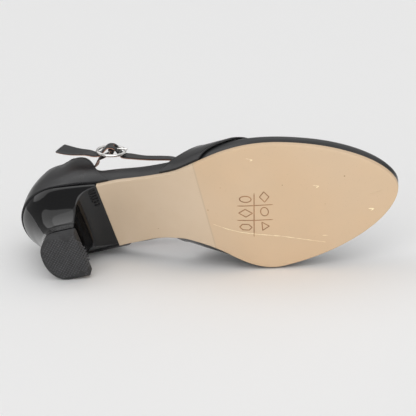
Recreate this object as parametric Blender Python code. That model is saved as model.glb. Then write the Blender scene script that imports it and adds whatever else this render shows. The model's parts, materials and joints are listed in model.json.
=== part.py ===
"""A dance shoe for the right foot: leather court shoe with crossed bands and an ankle strap.

The pieces are worked out with the shoe standing on its sole: x runs from the heel to the toe,
y to the medial side and z up. At the end the whole shoe is laid on its medial side, on the
three places that carry it there, with the toe along +X and the sole towards -Y.
"""

import math

import bmesh
import bpy
from mathutils import Matrix, Vector

MM = 0.001

# Driving sizes of the last
SOLE_LENGTH = 229.7 * MM
BALL_WIDTH = 81.6 * MM
HEEL_RISE = 40.5 * MM
INSTEP_HEIGHT = 60.0 * MM
HEEL_BACK_REACH = 28.4 * MM
FLAT_CLEARANCE = 0.3 * MM

# Walls of the pieces
SOLE_THICKNESS = 3.0 * MM
SOLE_EDGE_ROUND = 0.7 * MM
SOLE_MARGIN = 0.8 * MM
UPPER_WALL = 1.6 * MM
OVERLAY_WALL = 1.1 * MM
OVERLAY_GAP = 0.50 * MM
INSOLE_THICKNESS = 1.2 * MM
INSOLE_GAP = 0.45 * MM

# Heel, its lift and the breast
LIFT_THICKNESS = 6.0 * MM
LIFT_LENGTH = 25.0 * MM
LIFT_WIDTH = 30.4 * MM
HEEL_LIP_X = 52.0 * MM
HEEL_BREAST_X = 41.2 * MM
LIFT_SHIFT = 1.0 * MM
LIFT_CHAMFER = 0.5 * MM
LIFT_ROUND = 2.2

# Heights of the toplines over the feather line
COUNTER_BACK_HEIGHT = 41.5 * MM
COUNTER_FRONT_HEIGHT = 34.0 * MM
SIDE_BAND_HEIGHT = 11.0 * MM

# Ankle strap and buckle
STRAP_WIDTH = 8.2 * MM
STRAP_THICKNESS = 1.5 * MM
BACK_STRAP_THICKNESS = 1.0 * MM
BUCKLE_DIAMETER = 19.0 * MM
BUCKLE_WIRE = 2.0 * MM
BUCKLE_BAR = 1.4 * MM
PRONG_WIRE = 1.1 * MM
PRONG_SLOT = 2.4 * MM

# Places along the last, as shares of the sole's length
HEEL_CENTRE = 0.104
BALL_LINE = 0.660
TOE_FAN = 0.766
TOE_SPINE_END = 0.940

# How far the toe tip and the ball lie from the heel's middle line, as shares of the ball width
BALL_SHIFT = -0.048
TOE_SHIFT = 0.049
TOE_ROUND = 1.75
TOE_SHIFT_ROUND = 2.2

# Bottom of the sole: share of the length, share of the heel rise
BOTTOM = (
    (-0.020, 1.020),
    (0.122, 0.946),
    (0.226, 0.852),
    (0.348, 0.543),
    (0.435, 0.296),
    (0.522, 0.111),
    (0.601, 0.020),
    (0.644, 0.000),
    (0.775, 0.000),
    (0.892, 0.062),
    (1.000, 0.198),
)

# Sole's outline: share of the length, lateral and medial share of the ball width
OUTLINE = (
    (HEEL_CENTRE, 0.300, 0.300),
    (0.165, 0.296, 0.288),
    (0.226, 0.283, 0.254),
    (0.296, 0.321, 0.208),
    (0.366, 0.353, 0.156),
    (0.422, 0.386, 0.148),
    (0.475, 0.419, 0.185),
    (0.522, 0.466, 0.249),
    (0.566, 0.505, 0.346),
    (0.610, 0.536, 0.418),
    (BALL_LINE, 0.548, 0.452),
)

# Last over the sole: share of the length, then as shares of the ball width how far the side
# stands out past the feather line and how high its widest place is, lateral and medial, and
# the roundness of the section over it, lateral and medial
SIDES = (
    (HEEL_CENTRE, 0.004, 0.024, 0.115, 0.115, 1.62, 1.62),
    (0.126, 0.014, 0.031, 0.115, 0.117, 1.96, 1.75),
    (0.165, 0.026, 0.045, 0.115, 0.120, 2.10, 1.90),
    (0.226, 0.032, 0.080, 0.110, 0.140, 2.10, 2.00),
    (0.296, 0.018, 0.115, 0.100, 0.170, 2.00, 2.10),
    (0.366, 0.012, 0.130, 0.095, 0.220, 1.90, 2.20),
    (0.422, 0.014, 0.160, 0.090, 0.240, 1.80, 2.20),
    (0.475, 0.014, 0.185, 0.085, 0.240, 1.75, 2.20),
    (0.522, 0.014, 0.160, 0.080, 0.230, 1.70, 2.20),
    (0.566, 0.013, 0.110, 0.075, 0.200, 1.70, 2.20),
    (0.610, 0.012, 0.060, 0.068, 0.150, 1.70, 2.20),
    (BALL_LINE, 0.011, 0.026, 0.062, 0.105, 1.70, 2.20),
    (0.766, 0.009, 0.012, 0.056, 0.085, 1.70, 2.10),
    (1.000, 0.010, 0.010, 0.060, 0.060, 1.80, 1.80),
)
BACK_BULGE = 0.30

# Crown of the last: share of the length, share of the instep height over the floor and
# share of the ball width that the ridge lies to the medial side
CROWN = (
    (HEEL_CENTRE, 1.700, 0.000),
    (0.226, 1.600, 0.000),
    (0.348, 1.430, 0.012),
    (0.435, 1.290, 0.026),
    (0.522, 1.050, 0.048),
    (0.610, 0.780, 0.060),
    (BALL_LINE, 0.675, 0.060),
    (0.718, 0.595, 0.058),
    (0.784, 0.540, 0.054),
    (0.850, 0.490, 0.050),
    (TOE_SPINE_END, 0.415, 0.047),
)
BACK_CROWN_RISE = 0.300
WIDEST_SHARE = 0.20
TOPLINE_FALL = 0.90

# Front edge of the counter: share of the length, share of the counter's front height
COUNTER_EDGE = (
    (0.138, 1.000),
    (0.166, 0.920),
    (0.186, 0.790),
    (0.204, 0.600),
    (0.226, 0.300),
    (0.248, 0.095),
    (0.266, 0.000),
)

# Back and front edges of the lateral band over the vamp: place across the shoe, from -1 at the
# lateral feather line over 0 on the ridge to 1 at the medial one, and shares of the length
LATERAL_BAND = (
    (-1.00, 0.426, 0.546),
    (-0.80, 0.449, 0.568),
    (-0.70, 0.479, 0.616),
    (-0.60, 0.512, 0.646),
    (-0.40, 0.560, 0.682),
    (0.00, 0.606, 0.714),
    (0.40, 0.636, 0.736),
    (1.00, 0.676, 0.752),
)

# Edges of the medial band, from its hidden end under the other band to the medial feather line
MEDIAL_BAND = (
    (-0.25, 0.604, 0.660),
    (0.00, 0.592, 0.676),
    (0.40, 0.522, 0.644),
    (0.60, 0.482, 0.618),
    (0.80, 0.438, 0.594),
    (1.00, 0.402, 0.562),
)
THROAT_POINT = 0.612
THROAT_INSET = 1.2 * MM
BAND_STEP_LENGTH = 5.0 * MM
BAND_STEP_MARGIN = 1.2 * MM

# Heel over the lift: share of its height, shares of the seat's half widths, back and front
# edges as shares of the sole's length, and the roundness of its back
HEEL_SECTIONS = (
    (0.000, 0.598, 0.661, 0.0710, 0.1780, 2.10),
    (0.100, 0.553, 0.580, 0.0680, 0.1740, 2.10),
    (0.250, 0.507, 0.535, 0.0600, 0.1680, 2.05),
    (0.450, 0.545, 0.555, 0.0440, 0.1640, 2.00),
    (0.650, 0.665, 0.665, 0.0230, 0.1650, 2.00),
    (0.800, 0.810, 0.800, 0.0030, 0.1740, 2.00),
    (0.890, 0.915, 0.900, -0.0090, 0.1960, 2.00),
    (0.935, 0.965, 0.950, -0.0150, 0.2264, 2.00),
    (1.000, 0.995, 0.990, -0.0180, 0.2264, 2.00),
)
LATERAL_TAPER = 0.943
MEDIAL_TAPER = 0.845

# Ankle strap between the medial counter and the buckle: share of the length, share of the
# ball width to the medial side, share of the instep height over the floor, inward lean
STRAP_LOOP = (
    (0.262, 0.335, 1.100, 12.0),
    (0.330, 0.318, 1.125, 16.0),
    (0.398, 0.235, 1.160, 20.0),
    (0.436, 0.090, 1.185, 24.0),
    (0.432, -0.070, 1.170, 23.0),
    (0.401, -0.160, 1.125, 21.0),
    (0.376, -0.196, 1.083, 19.0),
    (0.341, -0.245, 1.032, 17.0),
)
STRAP_TAIL = (
    (0.199, -0.388, 1.045, 10.0),
    (0.169, -0.398, 1.075, 6.0),
    (0.142, -0.399, 1.145, 0.0),
    (0.111, -0.398, 1.245, -4.0),
)
BUCKLE_PLACE = (0.2605, -0.360, 1.040)
BUCKLE_LEAN = 10.0
BUCKLE_TURN = 18.0

# Roots of the straps inside the counter: share of the length, share of the counter's front
# height, and gap to the wall as a share of the wall
FRONT_ROOT = (
    (0.130, 0.660, 0.55),
    (0.165, 0.675, 0.55),
    (0.200, 0.690, 0.55),
)
BACK_ROOT = (
    (0.112, 0.820, 0.75),
    (0.145, 0.880, 1.00),
    (0.186, 0.920, 2.50),
)
BACK_ROOT_LEVEL = 0.50

# How the straps pass the buckle: place along the strap and height over the buckle's plane,
# as shares of the buckle's radius
FRONT_STRAP_PASS = (
    (1.20, -0.280),
    (0.95, -0.280),
    (0.72, -0.250),
    (0.48, 0.030),
    (0.24, 0.290),
    (0.00, 0.345),
    (-0.24, 0.290),
    (-0.48, 0.030),
    (-0.72, -0.250),
    (-0.95, -0.285),
    (-1.20, -0.290),
)
BACK_STRAP_PASS = (
    (-0.72, -0.470),
    (-0.42, -0.360),
    (-0.20, -0.215),
    (0.00, -0.168),
    (0.12, -0.118),
    (0.168, 0.000),
    (0.118, 0.118),
    (0.00, 0.168),
    (-0.15, 0.155),
)
PRONG_PASS = (
    (0.00, 0.172),
    (0.30, 0.178),
    (0.60, 0.190),
    (0.90, 0.200),
    (1.04, 0.185),
)
PRONG_HOLE = (0.03, 0.60)

# Weights of the materials, in kg per cubic metre, for the balance of the laid shoe
DENSITY = {
    "leather": 950.0,
    "plastic": 1050.0,
    "rubber": 1150.0,
    "metal": 7800.0,
}

# Finishes: colour, roughness, metallic
FINISHES = {
    "satin_black_leather": ((0.012, 0.012, 0.013, 1.0), 0.42, 0.0),
    "tan_sole_leather": ((0.72, 0.53, 0.34, 1.0), 0.55, 0.0),
    "black_lacquer": ((0.004, 0.004, 0.005, 1.0), 0.06, 0.0),
    "black_rubber": ((0.010, 0.010, 0.011, 1.0), 0.75, 0.0),
    "natural_lining": ((0.40, 0.24, 0.17, 1.0), 0.70, 0.0),
    "polished_steel": ((0.78, 0.78, 0.78, 1.0), 0.18, 1.0),
}

LATERAL = -1.0
MEDIAL = 1.0


def curve(rows, column, place, key=0, level_ends=True):
    """Read a column of a table at a place between its rows, smoothly and without overshoot."""
    keys = [row[key] for row in rows]
    values = [row[column] for row in rows]
    if place <= keys[0]:
        return values[0]
    if place >= keys[-1]:
        return values[-1]
    steps = [keys[i + 1] - keys[i] for i in range(len(keys) - 1)]
    rises = [(values[i + 1] - values[i]) / steps[i] for i in range(len(steps))]
    slopes = [0.0 if level_ends else rises[0]]
    for before, after in zip(rises, rises[1:]):
        level = before * after <= 0.0
        slopes.append(0.0 if level else 2.0 * before * after / (before + after))
    slopes.append(0.0 if level_ends else rises[-1])
    i = max(k for k in range(len(steps)) if keys[k] <= place)
    t = (place - keys[i]) / steps[i]
    start = values[i] * (1 + 2 * t) * (1 - t) ** 2 + slopes[i] * steps[i] * t * (1 - t) ** 2
    end = values[i + 1] * t * t * (3 - 2 * t) - slopes[i + 1] * steps[i] * t * t * (1 - t)
    return start + end


def smooth_step(value):
    """Rise from 0 to 1 with level ends."""
    t = min(1.0, max(0.0, value))
    return t * t * (3.0 - 2.0 * t)


def bottom_height(x):
    """Height of the sole's lower face over the floor."""
    return HEEL_RISE * curve(BOTTOM, 1, x / SOLE_LENGTH, level_ends=False)


def feather_height(x):
    """Height of the feather line, where upper and insole meet the sole or the heel."""
    return bottom_height(x) + SOLE_THICKNESS + FLAT_CLEARANCE


def toe_angle(x):
    """Angle on the toe's rounded outline that lies at a place along the shoe."""
    reach = (x / SOLE_LENGTH - BALL_LINE) / (1.0 - BALL_LINE)
    return math.asin(reach ** (TOE_ROUND / 2.0))


def toe_outline(side, angle):
    """Point of the sole's outline in front of the ball."""
    reach = math.sin(angle) ** (2.0 / TOE_ROUND)
    half = 0.5 * BALL_WIDTH * max(0.0, math.cos(angle)) ** (2.0 / TOE_ROUND)
    middle = BALL_SHIFT + (TOE_SHIFT - BALL_SHIFT) * reach ** TOE_SHIFT_ROUND
    x = SOLE_LENGTH * (BALL_LINE + (1.0 - BALL_LINE) * reach)
    return Vector((x, middle * BALL_WIDTH + side * half))


def outline_point(side, x):
    """Point of the sole's outline at a place along the shoe, from the heel to the toe fan."""
    if x > BALL_LINE * SOLE_LENGTH:
        return toe_outline(side, toe_angle(x))
    column = 1 if side == LATERAL else 2
    return Vector((x, side * BALL_WIDTH * curve(OUTLINE, column, x / SOLE_LENGTH)))


def ridge_shift(x):
    """How far the ridge of the last lies to the medial side."""
    return BALL_WIDTH * curve(CROWN, 2, x / SOLE_LENGTH)


def column_plan(side, k):
    """Outline point and ridge point of one upright column of the last.

    k runs from 0 at the back over 1 beside the heel's middle and 2 where the toe's fan
    begins to 3 at the toe tip.
    """
    heel_x = HEEL_CENTRE * SOLE_LENGTH
    fan_x = TOE_FAN * SOLE_LENGTH
    if k <= 1.0:
        angle = 0.5 * math.pi * k
        half = BALL_WIDTH * OUTLINE[0][1]
        back = heel_x - HEEL_BACK_REACH * math.cos(angle)
        rim = Vector((back, side * half * math.sin(angle)))
        return rim, Vector((heel_x, 0.0))
    if k <= 2.0:
        x = heel_x + (fan_x - heel_x) * (k - 1.0)
        return outline_point(side, x), Vector((x, ridge_shift(x)))
    first = toe_angle(fan_x)
    rim = toe_outline(side, first + (0.5 * math.pi - first) * (k - 2.0))
    x = fan_x + (TOE_SPINE_END * SOLE_LENGTH - fan_x) * (k - 2.0)
    return rim, Vector((x, ridge_shift(x)))


def column_at(x):
    """The column number that stands at a place between the heel's middle and the toe fan."""
    heel_x = HEEL_CENTRE * SOLE_LENGTH
    return 1.0 + (x - heel_x) / (TOE_FAN * SOLE_LENGTH - heel_x)


def column_place(k):
    """Place along the shoe of a column between the heel's middle and the toe fan."""
    heel_x = HEEL_CENTRE * SOLE_LENGTH
    return heel_x + (TOE_FAN * SOLE_LENGTH - heel_x) * (k - 1.0)


class Section:
    """The upright section of the last at one column, from the feather line to the ridge."""

    def __init__(self, side, k):
        rim, self.ridge = column_plan(side, k)
        run = rim - self.ridge
        self.direction = run.normalized()
        self.half = run.length - SOLE_MARGIN
        share = (self.ridge.x / SOLE_LENGTH) if k <= 2.0 else rim.x / SOLE_LENGTH
        column = 1 if side == LATERAL else 2
        self.bulge = BALL_WIDTH * curve(SIDES, column, share)
        self.widest = BALL_WIDTH * curve(SIDES, column + 2, share)
        self.base = feather_height(rim.x)
        crown = INSTEP_HEIGHT * curve(CROWN, 1, self.ridge.x / SOLE_LENGTH)
        if k < 1.0:
            backness = math.cos(0.5 * math.pi * k) ** 2
            crown += INSTEP_HEIGHT * BACK_CROWN_RISE * backness
            evened = BALL_WIDTH * SIDES[0][1] * BACK_BULGE
            self.bulge += (evened - self.bulge) * backness
        self.rise = crown - self.base - self.widest
        self.round = curve(SIDES, column + 4, share)

    def point(self, level):
        """Point at a level from 0 on the feather line to 1 on the ridge."""
        if level < WIDEST_SHARE:
            t = level / WIDEST_SHARE
            out = self.half + self.bulge * (1.0 - (1.0 - t) ** 2)
            height = self.base + self.widest * t
        else:
            angle = 0.5 * math.pi * min(1.0, (level - WIDEST_SHARE) / (1.0 - WIDEST_SHARE))
            power = 2.0 / self.round
            out = (self.half + self.bulge) * max(0.0, math.cos(angle)) ** power
            height = self.base + self.widest + self.rise * math.sin(angle) ** power
        flat = self.ridge + self.direction * out
        return Vector((flat.x, flat.y, height))

    def level_of(self, height):
        """Level that lies at a height over the feather line."""
        if height <= self.widest:
            return WIDEST_SHARE * height / self.widest
        share = min(1.0, (height - self.widest) / self.rise)
        angle = math.asin(share ** (self.round / 2.0))
        return WIDEST_SHARE + (1.0 - WIDEST_SHARE) * angle / (0.5 * math.pi)


def last_point(side, k, level):
    """Point of the last; past the back, the tip or the ridge it goes on on the other side."""
    if k < 0.0:
        return last_point(-side, -k, level)
    if k > 3.0:
        return last_point(-side, 6.0 - k, level)
    if level > 1.0:
        return last_point(-side, k, 2.0 - level)
    return Section(side, k).point(level)


def last_normal(side, k, level):
    """Outward direction of the last at a point."""
    step_k = 0.012
    step_level = 0.012
    if k > 2.9 and level > 0.97:
        level = 0.97
    low = max(0.0, level - step_level)
    along = last_point(side, k + step_k, level) - last_point(side, k - step_k, level)
    up = last_point(side, k, level + step_level) - last_point(side, k, low)
    normal = along.cross(up).normalized()
    middle = Section(side, k).ridge
    point = last_point(side, k, level)
    inward = Vector((middle.x, middle.y, bottom_height(middle.x))) - point
    return -normal if normal.dot(inward) > 0.0 else normal


def offset_point(side, k, level, offset):
    """Point at a distance from the last, level with the last along the feather line."""
    point = last_point(side, k, level)
    normal = last_normal(side, k, level)
    flat = Vector((normal.x, normal.y, 0.0))
    tilt = max(0.6, flat.length)
    sideways = flat.normalized() * (offset / tilt)
    share = smooth_step(level / WIDEST_SHARE)
    moved = point + sideways.lerp(normal * offset, share)
    moved.z = max(moved.z, feather_height(moved.x))
    return moved


def round_heel(length):
    """Column number at a length along the feather line from the middle of the back."""
    quarter = 0.25 * math.pi * (HEEL_BACK_REACH + BALL_WIDTH * OUTLINE[0][1])
    if length <= quarter:
        return length / quarter
    return column_at(HEEL_CENTRE * SOLE_LENGTH + length - quarter)


def counter_edge_height(x):
    """Height of the counter's front edge over the feather line."""
    return COUNTER_FRONT_HEIGHT * curve(COUNTER_EDGE, 1, x / SOLE_LENGTH)


def counter_top_height(k):
    """Height of the counter's topline, from the back to its front corner."""
    corner = column_at(COUNTER_EDGE[0][0] * SOLE_LENGTH)
    share = (k / corner) ** TOPLINE_FALL
    return COUNTER_BACK_HEIGHT + (COUNTER_FRONT_HEIGHT - COUNTER_BACK_HEIGHT) * share


def throat_level(side, x):
    """Level of the V throat at a place along the shoe, just under the edge of the band."""
    band = LATERAL_BAND if side == LATERAL else MEDIAL_BAND
    rows = []
    for row in band:
        across = row[0] * side
        if across >= 0.0:
            rows.append((row[1], 1.0 - across))
    rows = sorted(rows)
    rows[-1] = (THROAT_POINT, 1.0)
    return curve(rows, 1, (x - THROAT_INSET) / SOLE_LENGTH, level_ends=False)


def topline_level(side, k):
    """Level where the upper ends: counter, low side band, V throat or the closed vamp."""
    section = Section(side, k)
    corner = COUNTER_EDGE[0][0] * SOLE_LENGTH
    if k <= column_at(corner):
        return section.level_of(counter_top_height(k))
    if k >= column_at(THROAT_POINT * SOLE_LENGTH):
        return 1.0
    x = column_place(k)
    height = max(counter_edge_height(x), SIDE_BAND_HEIGHT)
    return max(section.level_of(height), throat_level(side, x))


def upper_columns():
    """Column numbers round one side of the upper, closer where the topline turns."""
    heel = [i / 8.0 for i in range(8)]
    places = [HEEL_CENTRE, 0.138, 0.166, 0.186, 0.204, 0.219, 0.236, 0.262, 0.296, 0.330]
    places += [0.364, 0.398, 0.422, 0.436, 0.450, 0.466, 0.482, 0.500, 0.518, 0.536]
    places += [0.554, 0.572, 0.592, THROAT_POINT, 0.632, 0.655, 0.682, 0.710, 0.738]
    middle = [column_at(place * SOLE_LENGTH) for place in places]
    toe = [2.0 + i / 9.0 for i in range(10)]
    return heel + middle + toe


def add_grid(mesh, rows):
    """Add the faces between rows of points that have the same length."""
    for low, high in zip(rows, rows[1:]):
        for i in range(len(low) - 1):
            corners = [low[i], low[i + 1], high[i + 1], high[i]]
            mesh.faces.new([mesh.verts.new(corner) for corner in corners])


def add_slab(mesh, outer, inner, missing=()):
    """Add a wall between two grids of points, open where cells are missing."""
    row_count = len(outer) - 1
    cell_count = len(outer[0]) - 1

    def present(i, j):
        return 0 <= i < row_count and 0 <= j < cell_count and (i, j) not in missing

    def face(corners):
        mesh.faces.new([mesh.verts.new(corner) for corner in corners])

    for i in range(row_count):
        for j in range(cell_count):
            if not present(i, j):
                continue
            cell = ((i, j), (i, j + 1), (i + 1, j + 1), (i + 1, j))
            face([outer[a][b] for a, b in cell])
            face([inner[a][b] for a, b in reversed(cell)])
            edges = (
                ((i - 1, j), (i, j), (i, j + 1)),
                ((i + 1, j), (i + 1, j + 1), (i + 1, j)),
                ((i, j - 1), (i + 1, j), (i, j)),
                ((i, j + 1), (i, j + 1), (i + 1, j + 1)),
            )
            for neighbour, start, end in edges:
                if present(*neighbour):
                    continue
                a, b = start
                c, d = end
                face([outer[c][d], outer[a][b], inner[a][b], inner[c][d]])


def finish(name, mesh, finish_name, parent, sharp_angle=40.0):
    """Weld a mesh, turn its faces outwards and make it an object with its material."""
    bmesh.ops.remove_doubles(mesh, verts=mesh.verts, dist=1e-6)
    bmesh.ops.dissolve_degenerate(mesh, edges=mesh.edges, dist=1e-7)
    bmesh.ops.recalc_face_normals(mesh, faces=mesh.faces)
    data = bpy.data.meshes.new(name)
    mesh.to_mesh(data)
    mesh.free()
    data.shade_smooth()
    data.set_sharp_from_angle(angle=math.radians(sharp_angle))
    piece = bpy.data.objects.new(name, data)
    data.materials.append(material(finish_name))
    bpy.context.scene.collection.objects.link(piece)
    piece.parent = parent
    return piece


def material(name):
    """Principled material of one finish."""
    if name in bpy.data.materials:
        return bpy.data.materials[name]
    colour, roughness, metallic = FINISHES[name]
    made = bpy.data.materials.new(name)
    made.use_nodes = True
    shader = made.node_tree.nodes["Principled BSDF"]
    shader.inputs["Base Color"].default_value = colour
    shader.inputs["Roughness"].default_value = roughness
    shader.inputs["Metallic"].default_value = metallic
    made.diffuse_color = colour
    return made


def make_upper(parent):
    """One hollow wall: heel part, low side bands, V throat and closed toe."""
    mesh = bmesh.new()
    rows = 9
    columns = upper_columns()
    closed_from = column_at(THROAT_POINT * SOLE_LENGTH) - 1e-6
    for side in (LATERAL, MEDIAL):
        outer = []
        inner = []
        for k in columns:
            top = topline_level(side, k)
            levels = [top * (j / rows) ** 0.92 for j in range(rows + 1)]
            outer.append([offset_point(side, k, level, 0.0) for level in levels])
            inner.append([offset_point(side, k, level, -UPPER_WALL) for level in levels])
        add_grid(mesh, outer)
        add_grid(mesh, inner)
        add_grid(mesh, [[wall[0] for wall in outer], [wall[0] for wall in inner]])
        open_count = sum(1 for k in columns if k < closed_from) + 1
        rim_outer = [wall[rows] for wall in outer[:open_count]]
        rim_inner = [wall[rows] for wall in inner[:open_count]]
        add_grid(mesh, [rim_outer, rim_inner])
    return finish("upper", mesh, "satin_black_leather", parent)


def make_counter(parent):
    """Leather overlay round the heel, its front edges lapping over the low side bands."""
    mesh = bmesh.new()
    rows = 9
    steps = 15
    back_x = COUNTER_EDGE[-1][0] * SOLE_LENGTH
    corner_x = COUNTER_EDGE[0][0] * SOLE_LENGTH
    quarter = 0.25 * math.pi * (HEEL_BACK_REACH + BALL_WIDTH * OUTLINE[0][1])
    outer = []
    inner = []
    for i in range(rows + 1):
        share = i / rows
        edge_x = back_x + (corner_x - back_x) * share
        edge_length = quarter + edge_x - HEEL_CENTRE * SOLE_LENGTH
        edge_height = counter_edge_height(edge_x)
        outer_row = []
        inner_row = []
        for j in range(-steps, steps + 1):
            side = LATERAL if j < 0 else MEDIAL
            along = abs(j) / steps
            k = round_heel(edge_length * along)
            top = counter_top_height(k) * share
            height = top + (edge_height - top) * smooth_step(along) * along
            level = Section(side, k).level_of(height)
            inner_row.append(offset_point(side, k, level, OVERLAY_GAP))
            outer_row.append(offset_point(side, k, level, OVERLAY_GAP + OVERLAY_WALL))
        outer.append(outer_row)
        inner.append(inner_row)
    add_slab(mesh, outer, inner)
    return finish("counter", mesh, "satin_black_leather", parent)


def band_place(across, x):
    """Side, column number and level of a place on a band."""
    side = LATERAL if across < 0.0 else MEDIAL
    return side, column_at(x), 1.0 - abs(across)


def band_lift(across, x):
    """How far the upper band is raised where the lower one passes under it."""
    first = curve(MEDIAL_BAND, 1, across) * SOLE_LENGTH - BAND_STEP_MARGIN
    last = curve(MEDIAL_BAND, 2, across) * SOLE_LENGTH + BAND_STEP_MARGIN
    outside = max(first - x, x - last, 0.0)
    share = 1.0 - smooth_step(outside / BAND_STEP_LENGTH)
    end = MEDIAL_BAND[0][0]
    share *= smooth_step((across - end) / 0.12 + 1.5)
    return share * (OVERLAY_WALL + OVERLAY_GAP)


def make_band(name, table, rows, parent, raised):
    """A band of leather over the last, between the two edges of its table."""
    mesh = bmesh.new()
    steps = 6
    first = table[0][0]
    final = table[-1][0]
    outer = []
    inner = []
    for i in range(rows + 1):
        across = first + (final - first) * i / rows
        back = curve(table, 1, across, level_ends=False) * SOLE_LENGTH
        front = curve(table, 2, across, level_ends=False) * SOLE_LENGTH
        outer_row = []
        inner_row = []
        for j in range(steps + 1):
            x = back + (front - back) * j / steps
            side, k, level = band_place(across, x)
            lift = OVERLAY_GAP + (band_lift(across, x) if raised else 0.0)
            inner_row.append(offset_point(side, k, level, lift))
            outer_row.append(offset_point(side, k, level, lift + OVERLAY_WALL))
        outer.append(outer_row)
        inner.append(inner_row)
    add_slab(mesh, outer, inner)
    return finish(name, mesh, "satin_black_leather", parent)


def flat_point(side, k, share, inset, height):
    """Point of a flat piece that follows the sole's curve, from the ridge line to its edge."""
    rim, ridge = column_plan(side, k)
    run = rim - ridge
    reach = (run.length - inset) * share
    flat = ridge + run.normalized() * reach
    return Vector((flat.x, flat.y, bottom_height(flat.x) + height))


def insole_point(side, k, share, height):
    """Point of the insole, which ends just inside the upper's wall."""
    _, ridge = column_plan(side, k)
    wall = offset_point(side, k, 0.0, -UPPER_WALL)
    run = Vector((wall.x, wall.y)) - ridge
    flat = ridge + run.normalized() * ((run.length - INSOLE_GAP) * share)
    return Vector((flat.x, flat.y, bottom_height(flat.x) + height))


def make_insole(parent):
    """The sock inside the upper, flat across and curved with the sole."""
    mesh = bmesh.new()
    shares = (0.0, 0.5, 1.0)
    low = SOLE_THICKNESS + FLAT_CLEARANCE
    high = low + INSOLE_THICKNESS
    columns = upper_columns()
    for side in (LATERAL, MEDIAL):
        top = [[insole_point(side, k, share, high) for share in shares] for k in columns]
        base = [[insole_point(side, k, share, low) for share in shares] for k in columns]
        add_grid(mesh, top)
        add_grid(mesh, base)
        add_grid(mesh, [[row[-1] for row in top], [row[-1] for row in base]])
    return finish("insole", mesh, "natural_lining", parent)


def make_outsole(parent):
    """Leather sole from the heel's lip to the toe, with softly rounded edges."""
    mesh = bmesh.new()
    start = HEEL_LIP_X + FLAT_CLEARANCE
    columns = [column_at(start)] + [k for k in upper_columns() if k > column_at(start) + 0.01]
    shares = (0.0, 0.45, 0.85)
    round_off = SOLE_EDGE_ROUND
    for side in (LATERAL, MEDIAL):
        walls = []
        for k in columns:
            wall = [flat_point(side, k, share, round_off, 0.0) for share in shares]
            wall.append(flat_point(side, k, 1.0, round_off, 0.0))
            wall.append(flat_point(side, k, 1.0, 0.3 * round_off, 0.3 * round_off))
            wall.append(flat_point(side, k, 1.0, 0.0, round_off))
            wall.append(flat_point(side, k, 1.0, 0.0, SOLE_THICKNESS))
            wall += [flat_point(side, k, share, 0.0, SOLE_THICKNESS) for share in reversed(shares)]
            walls.append(wall)
        add_grid(mesh, walls)
        mesh.faces.new([mesh.verts.new(corner) for corner in walls[0]])
    return finish("outsole", mesh, "tan_sole_leather", parent, 30.0)


def heel_ring(widths, back, front, back_round, tapers=(1.0, 1.0)):
    """One D section of the heel in plan: round back, straight breast with small corners."""
    lateral, medial = widths
    centre_x = 0.5 * (back + front)
    ring = []
    turns = 18
    for i in range(turns + 1):
        angle = math.pi * i / turns - 0.5 * math.pi
        reach = max(0.0, math.cos(angle)) ** (2.0 / back_round)
        spread = math.copysign(abs(math.sin(angle)) ** (2.0 / back_round), math.sin(angle))
        half = lateral if spread < 0.0 else medial
        ring.append((centre_x - (centre_x - back) * reach, spread * half))
    corner = min(1.2 * MM, 0.12 * (front - back))
    breast_lateral = lateral * tapers[0]
    breast_medial = medial * tapers[1]
    for i in range(0, 4):
        turn = 0.5 * math.pi * i / 3.0
        x = front - corner * (1 - math.sin(turn))
        ring.append((x, breast_medial - corner * (1 - math.cos(turn))))
    ring.append((front, 0.0))
    for i in range(0, 4):
        turn = 0.5 * math.pi * (1.0 - i / 3.0)
        x = front - corner * (1 - math.sin(turn))
        ring.append((x, corner * (1 - math.cos(turn)) - breast_lateral))
    return ring


def close_rings(mesh, rings):
    """Join closed rings of points and close the two ends with a fan round their middle."""
    for low, high in zip(rings, rings[1:]):
        add_grid(mesh, [low + low[:1], high + high[:1]])
    for ring in (rings[0], rings[-1]):
        middle = sum(ring, Vector((0.0, 0.0, 0.0))) / len(ring)
        for start, end in zip(ring, ring[1:] + ring[:1]):
            mesh.faces.new([mesh.verts.new(corner) for corner in (start, end, middle)])


def heel_height(x, share):
    """Height of a heel section: level at the lift, along the seat at the top."""
    seat = bottom_height(x) + SOLE_THICKNESS
    base = LIFT_THICKNESS + FLAT_CLEARANCE
    return base + (seat - base) * share


def make_heel(parent):
    """Lacquered heel from the seat to the lift, with its lip against the sole's end."""
    mesh = bmesh.new()
    half = BALL_WIDTH * OUTLINE[0][1]
    rows = 15
    rings = []
    for i in range(rows + 1):
        share = (i / rows) ** 0.8
        lateral = half * curve(HEEL_SECTIONS, 1, share, level_ends=False)
        medial = half * curve(HEEL_SECTIONS, 2, share, level_ends=False)
        back = SOLE_LENGTH * curve(HEEL_SECTIONS, 3, share, level_ends=False)
        front = SOLE_LENGTH * curve(HEEL_SECTIONS, 4, share, level_ends=False)
        back_round = curve(HEEL_SECTIONS, 5, share, level_ends=False)
        fade = smooth_step(share)
        tapers = (1.0 + (LATERAL_TAPER - 1.0) * fade, 1.0 + (MEDIAL_TAPER - 1.0) * fade)
        ring = heel_ring((lateral, medial), back, front, back_round, tapers)
        rings.append([Vector((x, y, heel_height(x, share))) for x, y in ring])
    rim = rings[-1]
    middle = sum(rim, Vector((0.0, 0.0, 0.0))) / len(rim)
    for shrink in (0.62, 0.25):
        ring = []
        for point in rim:
            x = middle.x + (point.x - middle.x) * shrink
            y = middle.y + (point.y - middle.y) * shrink
            ring.append(Vector((x, y, heel_height(x, 1.0))))
        rings.append(ring)
    close_rings(mesh, rings)
    return finish("heel", mesh, "black_lacquer", parent, 35.0)


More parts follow.
